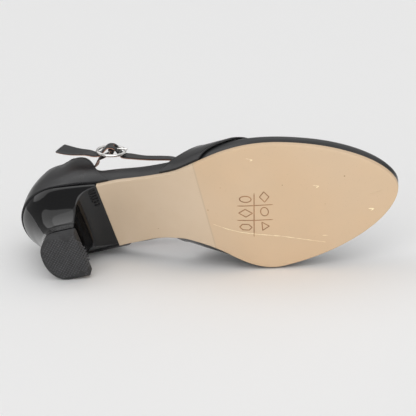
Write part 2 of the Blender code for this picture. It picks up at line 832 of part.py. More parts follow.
def make_top_lift(parent):
    """Rubber lift under the heel: a D with flat faces."""
    mesh = bmesh.new()
    front = HEEL_BREAST_X
    back = front - LIFT_LENGTH
    widths = (0.5 * LIFT_WIDTH - LIFT_SHIFT, 0.5 * LIFT_WIDTH + LIFT_SHIFT)
    rings = []
    for height, inset in ((0.0, LIFT_CHAMFER), (LIFT_CHAMFER, 0.0), (LIFT_THICKNESS, 0.0)):
        sides = (widths[0] - inset, widths[1] - inset)
        ring = heel_ring(sides, back + inset, front - inset, LIFT_ROUND)
        rings.append([Vector((x, y, height)) for x, y in ring])
    close_rings(mesh, rings)
    return finish("top_lift", mesh, "black_rubber", parent, 30.0)


def smooth_path(points, spacing):
    """Points at an even spacing on a smooth curve through the given points."""
    path = []
    for i in range(len(points) - 1):
        before = points[max(0, i - 1)]
        start = points[i]
        end = points[i + 1]
        after = points[min(len(points) - 1, i + 2)]
        steps = max(1, round((end - start).length / spacing))
        for j in range(steps):
            t = j / steps
            a = -0.5 * t + t * t - 0.5 * t ** 3
            b = 1.0 - 2.5 * t * t + 1.5 * t ** 3
            c = 0.5 * t + 2.0 * t * t - 1.5 * t ** 3
            d = -0.5 * t * t + 0.5 * t ** 3
            path.append(before * a + start * b + end * c + after * d)
    path.append(points[-1].copy())
    return path


def add_strap(mesh, path, outward, thickness, width, hole=None):
    """A flat strap along a path; outward gives the direction that its face looks to."""
    half_slot = 0.5 * PRONG_SLOT
    lines = (-0.5 * width, -0.42 * width, -half_slot, half_slot, 0.42 * width, 0.5 * width)
    outer = []
    inner = []
    for i, point in enumerate(path):
        ahead = path[min(i + 1, len(path) - 1)] - path[max(i - 1, 0)]
        face = outward[i] - ahead.normalized() * outward[i].dot(ahead.normalized())
        face.normalize()
        across = ahead.normalized().cross(face)
        outer_row = []
        inner_row = []
        for line in lines:
            edge = abs(line) > 0.45 * width
            half = 0.5 * thickness * (0.55 if edge else 1.0)
            outer_row.append(point + across * line + face * half)
            inner_row.append(point + across * line - face * half)
        outer.append(outer_row)
        inner.append(inner_row)
    missing = set()
    if hole is not None:
        missing = {(i, 2) for i in range(len(path) - 1) if hole[0] <= i < hole[1]}
    add_slab(mesh, outer, inner, missing)


def buckle_frame():
    """Centre and axes of the buckle: along the strap to the toe, outwards, across."""
    length, width, height = BUCKLE_PLACE
    centre = Vector((length * SOLE_LENGTH, width * BALL_WIDTH, height * INSTEP_HEIGHT))
    turn = math.radians(BUCKLE_TURN)
    lean = math.radians(BUCKLE_LEAN)
    along = Vector((math.cos(turn), math.sin(turn), 0.0))
    flat_out = Vector((math.sin(turn), -math.cos(turn), 0.0))
    outward = flat_out * math.cos(lean) + Vector((0.0, 0.0, math.sin(lean)))
    return centre, along, outward, along.cross(outward)


def pass_points(table):
    """Points of a strap past the buckle."""
    centre, along, outward, _ = buckle_frame()
    radius = 0.5 * BUCKLE_DIAMETER
    return [centre + along * (radius * t) + outward * (radius * n) for t, n in table]


def table_points(table):
    """Points of a strap table and the directions that its face looks to."""
    points = []
    leans = []
    for length, width, height, lean in table:
        points.append(Vector((length * SOLE_LENGTH, width * BALL_WIDTH, height * INSTEP_HEIGHT)))
        leans.append(math.radians(lean))
    return points, leans


def side_face(path, leans_at):
    """Outward directions along a path that goes round the shoe, leaning in by an angle."""
    faces = []
    for i in range(len(path)):
        ahead = path[min(i + 1, len(path) - 1)] - path[max(i - 1, 0)]
        flat = Vector((-ahead.y, ahead.x, 0.0)).normalized()
        lean = leans_at(i)
        faces.append(flat * math.cos(lean) + Vector((0.0, 0.0, math.sin(lean))))
    return faces


def root_points(side, table, thickness):
    """Points of a strap's root between the upper's inner wall and the foot."""
    points = []
    for place, height, gap in table:
        k = column_at(place * SOLE_LENGTH)
        level = Section(side, k).level_of(height * COUNTER_FRONT_HEIGHT)
        depth = UPPER_WALL * (1.0 + gap) + 0.5 * thickness
        points.append(offset_point(side, k, level, -depth))
    return points


def make_strap_front(parent):
    """Ankle strap from the medial counter round the instep, through the buckle to its end."""
    mesh = bmesh.new()
    root = root_points(MEDIAL, FRONT_ROOT, STRAP_THICKNESS)
    loop, loop_leans = table_points(STRAP_LOOP)
    tail, tail_leans = table_points(STRAP_TAIL)
    middle = pass_points(FRONT_STRAP_PASS)
    points = root + loop + middle + tail
    lean = math.radians(BUCKLE_LEAN)
    leans = [math.radians(14.0)] * len(root) + loop_leans + [lean] * len(middle) + tail_leans
    path = smooth_path(points, 6.0 * MM)
    fine = smooth_path(middle, 1.5 * MM)
    cut_start = min(range(len(path)), key=lambda i: (path[i] - middle[0]).length)
    cut_end = min(range(len(path)), key=lambda i: (path[i] - middle[-1]).length)
    path = path[:cut_start] + fine + path[cut_end + 1:]
    span = list(range(len(points)))

    def lean_at(i):
        nearest = sorted(span, key=lambda n: (points[n] - path[i]).length)[:2]
        a, b = nearest
        near = (points[a] - path[i]).length
        far = (points[b] - path[i]).length
        return (leans[a] * far + leans[b] * near) / (near + far + 1e-9)

    faces = side_face(path, lean_at)
    _, along, outward, _ = buckle_frame()
    for i in range(cut_start, cut_start + len(fine)):
        ahead = path[i + 1] - path[i - 1]
        slope = ahead.normalized()
        across = along.cross(outward)
        faces[i] = slope.cross(across).normalized()
        if faces[i].dot(outward) < 0.0:
            faces[i] = -faces[i]
    centre = buckle_frame()[0]
    radius = 0.5 * BUCKLE_DIAMETER
    inside = []
    for i in range(cut_start, cut_start + len(fine)):
        place = (path[i] - centre).dot(along) / radius
        if PRONG_HOLE[0] < place < PRONG_HOLE[1]:
            inside.append(i)
    add_strap(mesh, path, faces, STRAP_THICKNESS, STRAP_WIDTH, (inside[0], inside[-1]))
    return finish("strap_front", mesh, "satin_black_leather", parent)


def make_strap_back(parent):
    """Short strap from the lateral counter to the buckle, folded over its bar."""
    mesh = bmesh.new()
    root = root_points(LATERAL, BACK_ROOT, BACK_STRAP_THICKNESS)
    turn = pass_points(BACK_STRAP_PASS)
    rise = smooth_path(root + turn[:2], 2.5 * MM)
    path = rise[:-1] + smooth_path(turn[1:], 1.4 * MM)
    centre, along, outward, across = buckle_frame()
    root_k = column_at(BACK_ROOT[1][0] * SOLE_LENGTH)
    wall_way = last_normal(LATERAL, root_k, BACK_ROOT_LEVEL)
    faces = []
    for i in range(len(path)):
        ahead = path[min(i + 1, len(path) - 1)] - path[max(i - 1, 0)]
        face = ahead.normalized().cross(across)
        if i == 0 and face.dot(outward) < 0.0:
            across = -across
            face = -face
        share = smooth_step((path[i] - root[-1]).dot(along) / (4.0 * MM))
        faces.append(wall_way.lerp(face.normalized(), share))
    radius = 0.5 * BUCKLE_DIAMETER
    slot = []
    for i, point in enumerate(path):
        offset = point - centre
        if offset.dot(along) > -0.16 * radius and offset.dot(outward) > 0.0:
            slot.append(i)
    add_strap(mesh, path, faces, BACK_STRAP_THICKNESS, STRAP_WIDTH, (slot[0] - 1, slot[-1]))
    return finish("strap_back", mesh, "satin_black_leather", parent)


def add_tube(mesh, path, radius, sides=8):
    """A round wire along a path with closed ends."""
    rings = []
    side_way = None
    for i, point in enumerate(path):
        ahead = (path[min(i + 1, len(path) - 1)] - path[max(i - 1, 0)]).normalized()
        if side_way is None:
            side_way = ahead.orthogonal().normalized()
        side_way = (side_way - ahead * side_way.dot(ahead)).normalized()
        other = ahead.cross(side_way)
        ring = []
        for j in range(sides):
            angle = 2.0 * math.pi * j / sides
            ring.append(point + (side_way * math.cos(angle) + other * math.sin(angle)) * radius)
        rings.append(ring)
    close_rings(mesh, rings)


def make_buckle(parent):
    """Round wire ring with a bar across its middle."""
    centre, along, outward, across = buckle_frame()
    mesh = bmesh.new()
    wire = 0.5 * BUCKLE_WIRE
    radius = 0.5 * BUCKLE_DIAMETER - wire
    sides = 8
    turns = 32
    ring_rows = []
    for i in range(turns + 1):
        angle = 2.0 * math.pi * (i % turns) / turns
        out = along * math.cos(angle) + across * math.sin(angle)
        row = []
        for j in range(sides + 1):
            round_angle = 2.0 * math.pi * (j % sides) / sides
            reach = radius + wire * math.cos(round_angle)
            row.append(centre + out * reach + outward * (wire * math.sin(round_angle)))
        ring_rows.append(row)
    add_grid(mesh, ring_rows)
    ring = finish("buckle", mesh, "polished_steel", parent)
    bar_mesh = bmesh.new()
    bar_path = [centre - across * radius, centre, centre + across * radius]
    add_tube(bar_mesh, bar_path, 0.5 * BUCKLE_BAR)
    bar = finish("buckle_bar_form", bar_mesh, "polished_steel", parent)
    bar.hide_render = True
    bar.display_type = "WIRE"
    union = ring.modifiers.new("bar", "BOOLEAN")
    union.operation = "UNION"
    union.solver = "EXACT"
    union.object = bar
    return ring


def make_prong(parent):
    """Prong from the bar through the strap to the ring's front rim."""
    mesh = bmesh.new()
    path = smooth_path(pass_points(PRONG_PASS), 1.2 * MM)
    add_tube(mesh, path, 0.5 * PRONG_WIRE)
    return finish("buckle_prong", mesh, "polished_steel", parent)


def volume_and_centre(piece):
    """Volume and centre of mass of a closed mesh, modifiers included."""
    evaluated = piece.evaluated_get(bpy.context.evaluated_depsgraph_get())
    data = evaluated.to_mesh()
    data.calc_loop_triangles()
    volume = 0.0
    moment = Vector((0.0, 0.0, 0.0))
    for triangle in data.loop_triangles:
        a, b, c = [data.vertices[i].co for i in triangle.vertices]
        part = a.dot(b.cross(c)) / 6.0
        volume += part
        moment += (a + b + c) * (part / 4.0)
    evaluated.to_mesh_clear()
    return volume, moment / volume


def balance_point(pieces):
    """Centre of mass of the whole shoe."""
    total = 0.0
    moment = Vector((0.0, 0.0, 0.0))
    kinds = {"black_lacquer": "plastic", "black_rubber": "rubber", "polished_steel": "metal"}
    for piece in pieces:
        volume, centre = volume_and_centre(piece)
        weight = volume * DENSITY[kinds.get(piece.data.materials[0].name, "leather")]
        total += weight
        moment += centre * weight
    return moment / total


def resting_side(pieces):
    """Direction that points down when the shoe lies on its medial side."""
    hull = bmesh.new()
    for piece in pieces:
        for vertex in piece.data.vertices:
            hull.verts.new(vertex.co)
    result = bmesh.ops.convex_hull(hull, input=hull.verts)
    balance = balance_point(pieces)
    best = None
    for face in [item for item in result["geom"] if isinstance(item, bmesh.types.BMFace)]:
        normal = face.normal.copy()
        if normal.dot(face.calc_center_median() - balance) < 0.0:
            normal.negate()
        if normal.y < 0.7:
            continue
        height = normal.dot(face.verts[0].co - balance)
        foot = balance + normal * height
        if bmesh.geometry.intersect_face_point(face, foot):
            if best is None or normal.y > best.y:
                best = normal
    hull.free()
    return best


def lay_down(frame, pieces):
    """Turn the frame so that the shoe rests on its medial side, toe along +X."""
    down = resting_side(pieces)
    toe = Vector((1.0, 0.0, 0.0))
    toe = (toe - down * toe.dot(down)).normalized()
    up = -down
    left = up.cross(toe)
    turn = Matrix((toe, left, up)).to_4x4()
    points = [turn @ vertex.co for piece in pieces for vertex in piece.data.vertices]
    low = [min(point[i] for point in points) for i in range(3)]
    high = [max(point[i] for point in points) for i in range(3)]
    shift = Vector((-0.5 * (low[0] + high[0]), -0.5 * (low[1] + high[1]), -low[2]))
    frame.matrix_world = Matrix.Translation(shift) @ turn


def build():
    """Make the whole shoe."""
    for old in list(bpy.data.objects):
        bpy.data.objects.remove(old, do_unlink=True)
    frame = bpy.data.objects.new("shoe_frame", None)
    bpy.context.scene.collection.objects.link(frame)
    pieces = [
        make_outsole(frame),
        make_heel(frame),
        make_top_lift(frame),
        make_insole(frame),
        make_upper(frame),
        make_counter(frame),
        make_band("band_medial", MEDIAL_BAND, 24, frame, raised=False),
        make_band("band_lateral", LATERAL_BAND, 28, frame, raised=True),
        make_strap_front(frame),
        make_strap_back(frame),
        make_buckle(frame),
        make_prong(frame),
    ]
    bpy.context.view_layer.update()
    lay_down(frame, pieces)


build()
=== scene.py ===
"""Looks of a black leather dance shoe that lies on its side, sole towards the viewer."""

import json
import math

import bmesh
import bpy
from mathutils import Matrix, Vector
from mathutils.bvhtree import BVHTree


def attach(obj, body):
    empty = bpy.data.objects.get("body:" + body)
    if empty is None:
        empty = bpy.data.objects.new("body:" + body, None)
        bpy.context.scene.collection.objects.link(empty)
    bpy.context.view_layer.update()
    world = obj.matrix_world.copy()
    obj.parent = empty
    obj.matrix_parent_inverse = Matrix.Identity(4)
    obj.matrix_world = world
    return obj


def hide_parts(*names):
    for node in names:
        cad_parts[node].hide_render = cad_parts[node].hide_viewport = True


bl_info = {
    "name": "Dance shoe",
    "version": (1, 0, 0),
    "blender": (4, 5, 0),
    "location": "3D View > Sidebar > Dance shoe",
    "description": "Dresses a leather dance shoe with its finishes, stitches and marks",
    "category": "Object",
}

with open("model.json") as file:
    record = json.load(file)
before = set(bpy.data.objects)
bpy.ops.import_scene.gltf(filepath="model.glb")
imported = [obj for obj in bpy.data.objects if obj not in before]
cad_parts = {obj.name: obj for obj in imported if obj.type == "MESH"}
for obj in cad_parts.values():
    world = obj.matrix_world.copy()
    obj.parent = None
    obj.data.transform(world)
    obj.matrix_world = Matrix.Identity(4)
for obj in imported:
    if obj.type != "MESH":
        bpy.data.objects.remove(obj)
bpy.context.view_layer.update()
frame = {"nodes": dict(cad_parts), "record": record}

MM = 0.001

# Two marked places on the bottom, in the standing shoe: along from the heel, to the medial side
HEEL_REST = (29.0 * MM, 1.0 * MM)
FOREFOOT_REST = (163.087 * MM, -3.0 * MM)

# The camera in the standing shoe's own frame
CAMERA_PLACE = (0.3590, -0.4746, -0.8207)
CAMERA_RIGHT = (0.948063, 0.300832, 0.103324)
CAMERA_UP = (0.204923, -0.826104, 0.524936)

# Height of the foot's middle line in the standing shoe: place along, height
CORE_LINE = (
    (0.028, 0.064),
    (0.060, 0.052),
    (0.100, 0.034),
    (0.140, 0.022),
    (0.195, 0.018),
)

# Printed marks on the sole, in the standing shoe's plan, in millimetres: start and end of lines
GRID_LINES = (
    ((151.1, -14.9), (142.6, 13.4)),
    ((139.0, -8.6), (159.4, -5.0)),
    ((136.1, 0.8), (156.6, 4.6)),
)
GRID_CELLS = (
    (145.0, -12.0, 32, 3.3, 2.0),
    (142.4, -3.0, 4, 4.0, 2.6),
    (139.8, 6.2, 6, 3.6, 2.2),
    (155.9, -11.0, 4, 2.7, 3.4),
    (153.3, -1.6, 32, 2.2, 2.8),
    (150.6, 7.8, 3, 2.7, 3.2),
)
GRID_ANGLE = 12.0

# Half the diagonal of a square with sides of one
DIAGONAL = 0.5 * math.sqrt(2.0)

# A creased edge that turns by more than this at a vertex keeps its corner
CORNER_TURN = math.radians(35.0)

# Soft creases of the leather in the standing shoe, in millimetres: the solid, points of the
# line, its half width and how far it rises, less than nothing for a trough
CREASES = (
    ("upper", ((164.0, -26.0, 20.0), (166.0, 0.0, 33.0), (164.0, 24.0, 24.0)), 2.2, -0.35),
    ("upper", ((170.5, -22.0, 22.0), (172.0, 2.0, 31.5), (170.0, 22.0, 23.0)), 2.0, 0.22),
    ("upper", ((177.0, -18.0, 22.0), (178.0, 4.0, 29.5), (176.0, 22.0, 21.0)), 2.0, -0.22),
    ("upper", ((66.0, -25.0, 33.0), (76.0, -26.0, 29.0), (88.0, -27.5, 23.0)), 1.6, -0.25),
    ("upper", ((70.0, -24.5, 38.0), (80.0, -25.5, 33.0), (92.0, -27.0, 26.0)), 1.6, 0.18),
    ("counter", ((44.0, -25.0, 50.0), (34.0, -26.0, 47.0), (24.0, -25.0, 46.0)), 2.5, -0.20),
    ("band_lateral", ((104.0, -34.0, 14.0), (116.0, -30.0, 28.0), (130.0, -18.0, 40.0)), 1.8, -0.22),
    ("band_lateral", ((118.0, -37.0, 12.0), (128.0, -33.0, 24.0), (142.0, -20.0, 36.0)), 1.8, 0.16),
    ("band_medial", ((104.0, 30.0, 16.0), (114.0, 28.0, 30.0), (126.0, 18.0, 40.0)), 1.8, -0.22),
)

# Pale scratches on the sole, in millimetres: points of a line
SCRATCHES = (
    ((153.0, -37.6), (156.4, -35.8), (154.6, -35.4)),
    ((184.6, -11.6), (187.6, -10.2), (185.8, -9.4)),
    ((210.2, 12.4), (213.2, 13.6), (211.4, 14.2)),
    ((181.0, 21.6), (184.0, 22.4)),
    ((121.0, 1.7), (128.0, 5.6), (135.4, 8.9), (146.0, 12.4), (157.8, 16.4), (181.7, 26.5)),
)
SPECKS = ((133.0, -22.0), (168.0, -16.0), (121.0, -8.0), (188.0, 2.0), (84.0, 6.0), (203.0, -12.0))

LEATHER_NODES = ("upper", "counter", "band_lateral", "band_medial")


class ShoeSizes(bpy.types.PropertyGroup):
    """Sizes of the small work on the shoe."""

    stitch_pitch: bpy.props.FloatProperty(
        name="Stitch pitch", description="Length from one stitch to the next",
        default=1.7 * MM, min=1.0 * MM, max=5.0 * MM, unit="LENGTH")
    stitch_length: bpy.props.FloatProperty(
        name="Stitch length", description="Length of the thread that shows in one stitch",
        default=1.15 * MM, min=0.5 * MM, max=4.0 * MM, unit="LENGTH")
    thread_width: bpy.props.FloatProperty(
        name="Thread width", description="Thickness of the sewing thread",
        default=0.30 * MM, min=0.1 * MM, max=1.0 * MM, unit="LENGTH")
    edge_inset: bpy.props.FloatProperty(
        name="Stitch inset", description="Distance of a seam from the folded edge",
        default=1.2 * MM, min=0.5 * MM, max=4.0 * MM, unit="LENGTH")
    edge_round: bpy.props.FloatProperty(
        name="Edge rounding", description="Rounding of the cut and folded leather edges",
        default=0.32 * MM, min=0.05 * MM, max=0.6 * MM, unit="LENGTH")
    tread_pitch: bpy.props.FloatProperty(
        name="Tread pitch", description="Distance between the diamonds under the lift",
        default=1.5 * MM, min=0.8 * MM, max=4.0 * MM, unit="LENGTH")
    tread_height: bpy.props.FloatProperty(
        name="Tread height", description="Height of the diamonds under the lift",
        default=0.28 * MM, min=0.05 * MM, max=1.0 * MM, unit="LENGTH")
    mark_width: bpy.props.FloatProperty(
        name="Mark width", description="Width of the stamped lines on the sole",
        default=0.55 * MM, min=0.1 * MM, max=1.5 * MM, unit="LENGTH")


class ShoeColours(bpy.types.PropertyGroup):
    """Colours of the finishes."""

    leather: bpy.props.FloatVectorProperty(
        name="Leather", description="Colour of the upper's leather",
        default=(0.0095, 0.0095, 0.0105), size=3, subtype="COLOR", min=0.0, max=1.0)
    lining: bpy.props.FloatVectorProperty(
        name="Lining", description="Colour of the lining leather",
        default=(0.32, 0.17, 0.115), size=3, subtype="COLOR", min=0.0, max=1.0)
    sole: bpy.props.FloatVectorProperty(
        name="Sole", description="Colour of the natural sole leather",
        default=(0.615, 0.465, 0.315), size=3, subtype="COLOR", min=0.0, max=1.0)
    lacquer: bpy.props.FloatVectorProperty(
        name="Heel", description="Colour of the lacquered heel",
        default=(0.004, 0.004, 0.0045), size=3, subtype="COLOR", min=0.0, max=1.0)
    rubber: bpy.props.FloatVectorProperty(
        name="Lift", description="Colour of the rubber lift",
        default=(0.016, 0.016, 0.017), size=3, subtype="COLOR", min=0.0, max=1.0)
    metal: bpy.props.FloatVectorProperty(
        name="Buckle", description="Colour of the buckle's metal",
        default=(0.80, 0.79, 0.77), size=3, subtype="COLOR", min=0.0, max=1.0)
    mark: bpy.props.FloatVectorProperty(
        name="Stamp", description="Colour of the stamped lines on the sole",
        default=(0.24, 0.125, 0.060), size=3, subtype="COLOR", min=0.0, max=1.0)
    floor: bpy.props.FloatVectorProperty(
        name="Floor", description="Colour of the studio floor",
        default=(0.87, 0.87, 0.87), size=3, subtype="COLOR", min=0.0, max=1.0)


class ShoeStudio(bpy.types.PropertyGroup):
    """Camera and lights."""

    lens: bpy.props.FloatProperty(
        name="Lens", description="Focal length of the camera in millimetres on a 36 mm frame",
        default=147.64, min=20.0, max=400.0)
    key_power: bpy.props.FloatProperty(
        name="Key light", description="Strength of the wide light from behind, over the shoe",
        default=0.45, min=0.0, max=50.0)
    front_power: bpy.props.FloatProperty(
        name="Front light", description="Strength of the wide light from the camera's side",
        default=2.5, min=0.0, max=50.0)
    fill_power: bpy.props.FloatProperty(
        name="Fill light", description="Strength of the faint wide light from above the toe",
        default=0.85, min=0.0, max=50.0)
    sky_strength: bpy.props.FloatProperty(
        name="Room light", description="Strength of the even light from all round",
        default=0.27, min=0.0, max=5.0)


def standing_frame():
    """Matrix from the standing shoe to the laid one, from the two places under the shoe."""
    mounts = {mount["name"]: mount for mount in frame["record"]["mounts"]}
    heel = Vector(mounts["heel_rest"]["pos_m"])
    forefoot = Vector(mounts["forefoot_rest"]["pos_m"])
    up = -Vector(mounts["heel_rest"]["axis"]).normalized()
    ahead = forefoot - heel
    ahead = (ahead - up * ahead.dot(up)).normalized()
    aside = FOREFOOT_REST[1] - HEEL_REST[1]
    angle = math.atan2(aside, FOREFOOT_REST[0] - HEEL_REST[0])
    toe = Matrix.Rotation(-angle, 3, up) @ ahead
    medial = up.cross(toe)
    place = heel - toe * HEEL_REST[0] - medial * HEEL_REST[1]
    matrix = Matrix((toe, medial, up)).transposed().to_4x4()
    matrix.translation = place
    return matrix


STANDING = standing_frame()
TO_STANDING = STANDING.inverted()


def link(piece):
    """Put an object into the scene."""
    bpy.context.scene.collection.objects.link(piece)
    return piece


def node_bmesh(name):
    """A merged copy of a solid's mesh, its triangles joined to quads where they match."""
    mesh = bmesh.new()
    mesh.from_mesh(frame["nodes"][name].data)
    bmesh.ops.remove_doubles(mesh, verts=mesh.verts, dist=2e-6)
    bmesh.ops.dissolve_degenerate(mesh, edges=mesh.edges, dist=1e-7)
    bmesh.ops.join_triangles(
        mesh, faces=mesh.faces, angle_face_threshold=math.radians(40.0),
        angle_shape_threshold=math.radians(180.0))
    mesh.normal_update()
    mesh.verts.ensure_lookup_table()
    mesh.faces.ensure_lookup_table()
    return mesh


def frozen(piece, name):
    """The piece with its modifiers applied, as a plain mesh object of that name."""
    bpy.context.view_layer.update()
    graph = bpy.context.evaluated_depsgraph_get()
    data = bpy.data.meshes.new_from_object(piece.evaluated_get(graph))
    data.name = name
    old = piece.data
    bpy.data.objects.remove(piece, do_unlink=True)
    if isinstance(old, bpy.types.Mesh) and old.users == 0:
        bpy.data.meshes.remove(old)
    return link(bpy.data.objects.new(name, data))


def dressed_copy(name, node, levels=2, sharp=42.0, rounding=0.0, shape=None):
    """A smooth copy of a solid with its sharp edges kept and rounded."""
    mesh = node_bmesh(node)
    crease = mesh.edges.layers.float.new("crease_edge")
    for edge in mesh.edges:
        if len(edge.link_faces) == 2 and edge.calc_face_angle(0.0) > math.radians(sharp):
            edge[crease] = 1.0
    corner = mesh.verts.layers.float.new("crease_vert")
    for vertex in mesh.verts:
        ways = [(edge.other_vert(vertex).co - vertex.co).normalized()
                for edge in vertex.link_edges if edge[crease] > 0.5]
        if len(ways) > 2 or (len(ways) == 2 and ways[0].dot(ways[1]) > -math.cos(CORNER_TURN)):
            vertex[corner] = 1.0
    data = bpy.data.meshes.new(name + "_form")
    mesh.to_mesh(data)
    mesh.free()
    data.shade_smooth()
    piece = link(bpy.data.objects.new(name + "_form", data))
    smooth = piece.modifiers.new("smooth", "SUBSURF")
    smooth.levels = levels
    smooth.render_levels = levels
    smooth.boundary_smooth = "PRESERVE_CORNERS"
    if rounding > 0.0:
        edges = piece.modifiers.new("edges", "BEVEL")
        edges.width = rounding
        edges.segments = 2
        edges.limit_method = "ANGLE"
        edges.angle_limit = math.radians(50.0)
        edges.use_clamp_overlap = True
    piece = frozen(piece, name)
    if shape is not None:
        places = [(vertex.co.copy(), vertex.normal.copy()) for vertex in piece.data.vertices]
        shaped = [shape(place, way) for place, way in places]
        piece.data.vertices.foreach_set("co", [value for place in shaped for value in place])
        piece.data.update()
    piece.data.shade_smooth()
    piece.data.set_sharp_from_angle(angle=math.radians(48.0))
    return piece


def settle(piece, finishes, replaced=None):
    """Give a piece its materials and its body."""
    numbers = [face.material_index for face in piece.data.polygons]
    piece.data.materials.clear()
    for finish in finishes:
        piece.data.materials.append(finish)
    piece.data.polygons.foreach_set("material_index", numbers)
    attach(piece, "root")
    if replaced is not None:
        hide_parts(replaced)
    return piece


def core_of(point):
    """Point of the foot's middle line beside a point, both in the laid shoe."""
    inside = TO_STANDING @ point
    x = min(max(inside.x, CORE_LINE[0][0]), CORE_LINE[-1][0])
    height = CORE_LINE[-1][1]
    for (low_x, low_z), (high_x, high_z) in zip(CORE_LINE, CORE_LINE[1:]):
        if low_x <= x <= high_x:
            height = low_z + (high_z - low_z) * (x - low_x) / (high_x - low_x)
            break
    return STANDING @ Vector((x, 0.002, height))


def ankle_core(point):
    """Point in the middle of the ankle strap's loop at the height of a point."""
    inside = TO_STANDING @ point
    return STANDING @ Vector((min(max(inside.x, 0.040), 0.070), 0.0, inside.z))


def store_plan(piece):
    """Keep every vertex's place in the standing shoe, for patterns that follow it."""
    layer = piece.data.attributes.new("plan", "FLOAT_VECTOR", "POINT")
    for i, vertex in enumerate(piece.data.vertices):
        layer.data[i].vector = TO_STANDING @ vertex.co


def mark_lining(piece, core, depth, index=1):
    """Give the faces of a wall's inner side, and a share of its rim, another material."""
    mesh = bmesh.new()
    mesh.from_mesh(piece.data)
    mesh.faces.ensure_lookup_table()
    inner = []
    for face in mesh.faces:
        centre = face.calc_center_median()
        if face.normal.dot((core(centre) - centre).normalized()) > 0.45:
            inner.append(face)
    corners = []
    polygons = []
    for face in inner:
        start = len(corners)
        corners += [vertex.co.copy() for vertex in face.verts]
        polygons.append(tuple(range(start, len(corners))))
    near = BVHTree.FromPolygons(corners, polygons)
    chosen = {face.index for face in inner}
    for face in mesh.faces:
        if face.index in chosen:
            continue
        centre = face.calc_center_median()
        if face.normal.dot((core(centre) - centre).normalized()) < -0.45:
            continue
        hit = near.find_nearest(centre, depth)
        if hit[0] is not None:
            chosen.add(face.index)
    mesh.free()
    for i in chosen:
        piece.data.polygons[i].material_index = index


def new_material(name, colour, roughness, metallic=0.0):
    """A Principled material and the pieces of its tree."""
    made = bpy.data.materials.new(name)
    made.use_nodes = True
    tree = made.node_tree
    shader = tree.nodes["Principled BSDF"]
    shader.inputs["Base Color"].default_value = (*colour, 1.0)
    shader.inputs["Roughness"].default_value = roughness
    shader.inputs["Metallic"].default_value = metallic
    made.diffuse_color = (*colour, 1.0)
    return made, tree, shader


def place_node(tree, attribute=None):
    """Object coordinates, or an attribute's vector, as a socket."""
    if attribute is not None:
        node = tree.nodes.new("ShaderNodeAttribute")
        node.attribute_name = attribute
        return node.outputs["Vector"]
    return tree.nodes.new("ShaderNodeTexCoord").outputs["Object"]


def noise(tree, place, scale, detail=3.0, roughness=0.55):
    """A noise pattern's value."""
    node = tree.nodes.new("ShaderNodeTexNoise")
    node.inputs["Scale"].default_value = scale
    node.inputs["Detail"].default_value = detail
    node.inputs["Roughness"].default_value = roughness
    tree.links.new(place, node.inputs["Vector"])
    return node.outputs["Fac"]


def ramp(tree, value, stops):
    """A colour ramp over a value; stops are place and colour or grey."""
    node = tree.nodes.new("ShaderNodeValToRGB")
    points = node.color_ramp.elements
    while len(points) < len(stops):
        points.new(0.5)
    for point, (place, colour) in zip(points, stops):
        point.position = place
        point.color = (*colour, 1.0) if isinstance(colour, tuple) else (colour, colour, colour, 1.0)
    tree.links.new(value, node.inputs["Fac"])
    return node.outputs["Color"]


def span(tree, value, low, high, out_low, out_high):
    """A value mapped from one span to another, held at its ends."""
    node = tree.nodes.new("ShaderNodeMapRange")
    node.inputs["From Min"].default_value = low
    node.inputs["From Max"].default_value = high
    node.inputs["To Min"].default_value = out_low
    node.inputs["To Max"].default_value = out_high
    tree.links.new(value, node.inputs["Value"])
    return node.outputs["Result"]


def maths(tree, operation, first, second):
    """One step of arithmetic on values or sockets."""
    node = tree.nodes.new("ShaderNodeMath")
    node.operation = operation
    for socket, value in zip(node.inputs, (first, second)):
        if isinstance(value, (int, float)):
            socket.default_value = value
        else:
            tree.links.new(value, socket)
    return node.outputs["Value"]


def mix(tree, share, first, second):
    """Mix of two colours, each a tuple or a socket."""
    node = tree.nodes.new("ShaderNodeMix")
    node.data_type = "RGBA"
    if isinstance(share, (int, float)):
        node.inputs[0].default_value = share
    else:
        tree.links.new(share, node.inputs[0])
    for socket, value in ((node.inputs[6], first), (node.inputs[7], second)):
        if isinstance(value, tuple):
            socket.default_value = (*value, 1.0)
        else:
            tree.links.new(value, socket)
    return node.outputs[2]


def bump(tree, shader, height, strength, distance):
    """Relief from a height pattern."""
    node = tree.nodes.new("ShaderNodeBump")
    node.inputs["Strength"].default_value = strength
    node.inputs["Distance"].default_value = distance
    tree.links.new(height, node.inputs["Height"])
    tree.links.new(node.outputs["Normal"], shader.inputs["Normal"])


def leather_material(colours):
    """Satin black leather: fine pebbled grain, faint wrinkles and uneven gloss."""
    made, tree, shader = new_material("satin_black_leather", tuple(colours.leather), 0.40)
    place = place_node(tree)
    cells = tree.nodes.new("ShaderNodeTexVoronoi")
    cells.feature = "SMOOTH_F1"
    cells.inputs["Scale"].default_value = 1500.0
    tree.links.new(place, cells.inputs["Vector"])
    fine = noise(tree, place, 2600.0, 2.0)
    broad = noise(tree, place, 160.0, 4.0)
    height = maths(tree, "ADD", cells.outputs["Distance"], maths(tree, "MULTIPLY", fine, 0.5))
    height = maths(tree, "ADD", height, maths(tree, "MULTIPLY", broad, 0.8))
    bump(tree, shader, height, 0.20, 0.00016)
    gloss = noise(tree, place, 60.0, 3.0)
    tree.links.new(span(tree, gloss, 0.3, 0.7, 0.27, 0.36), shader.inputs["Roughness"])
    tone = mix(tree, span(tree, broad, 0.35, 0.65, 0.0, 1.0), tuple(colours.leather),
               tuple(1.35 * c for c in colours.leather))
    tree.links.new(tone, shader.inputs["Base Color"])
    shader.inputs["Specular IOR Level"].default_value = 0.42
    shader.inputs["Coat Weight"].default_value = 0.08
    shader.inputs["Coat Roughness"].default_value = 0.26
    return made


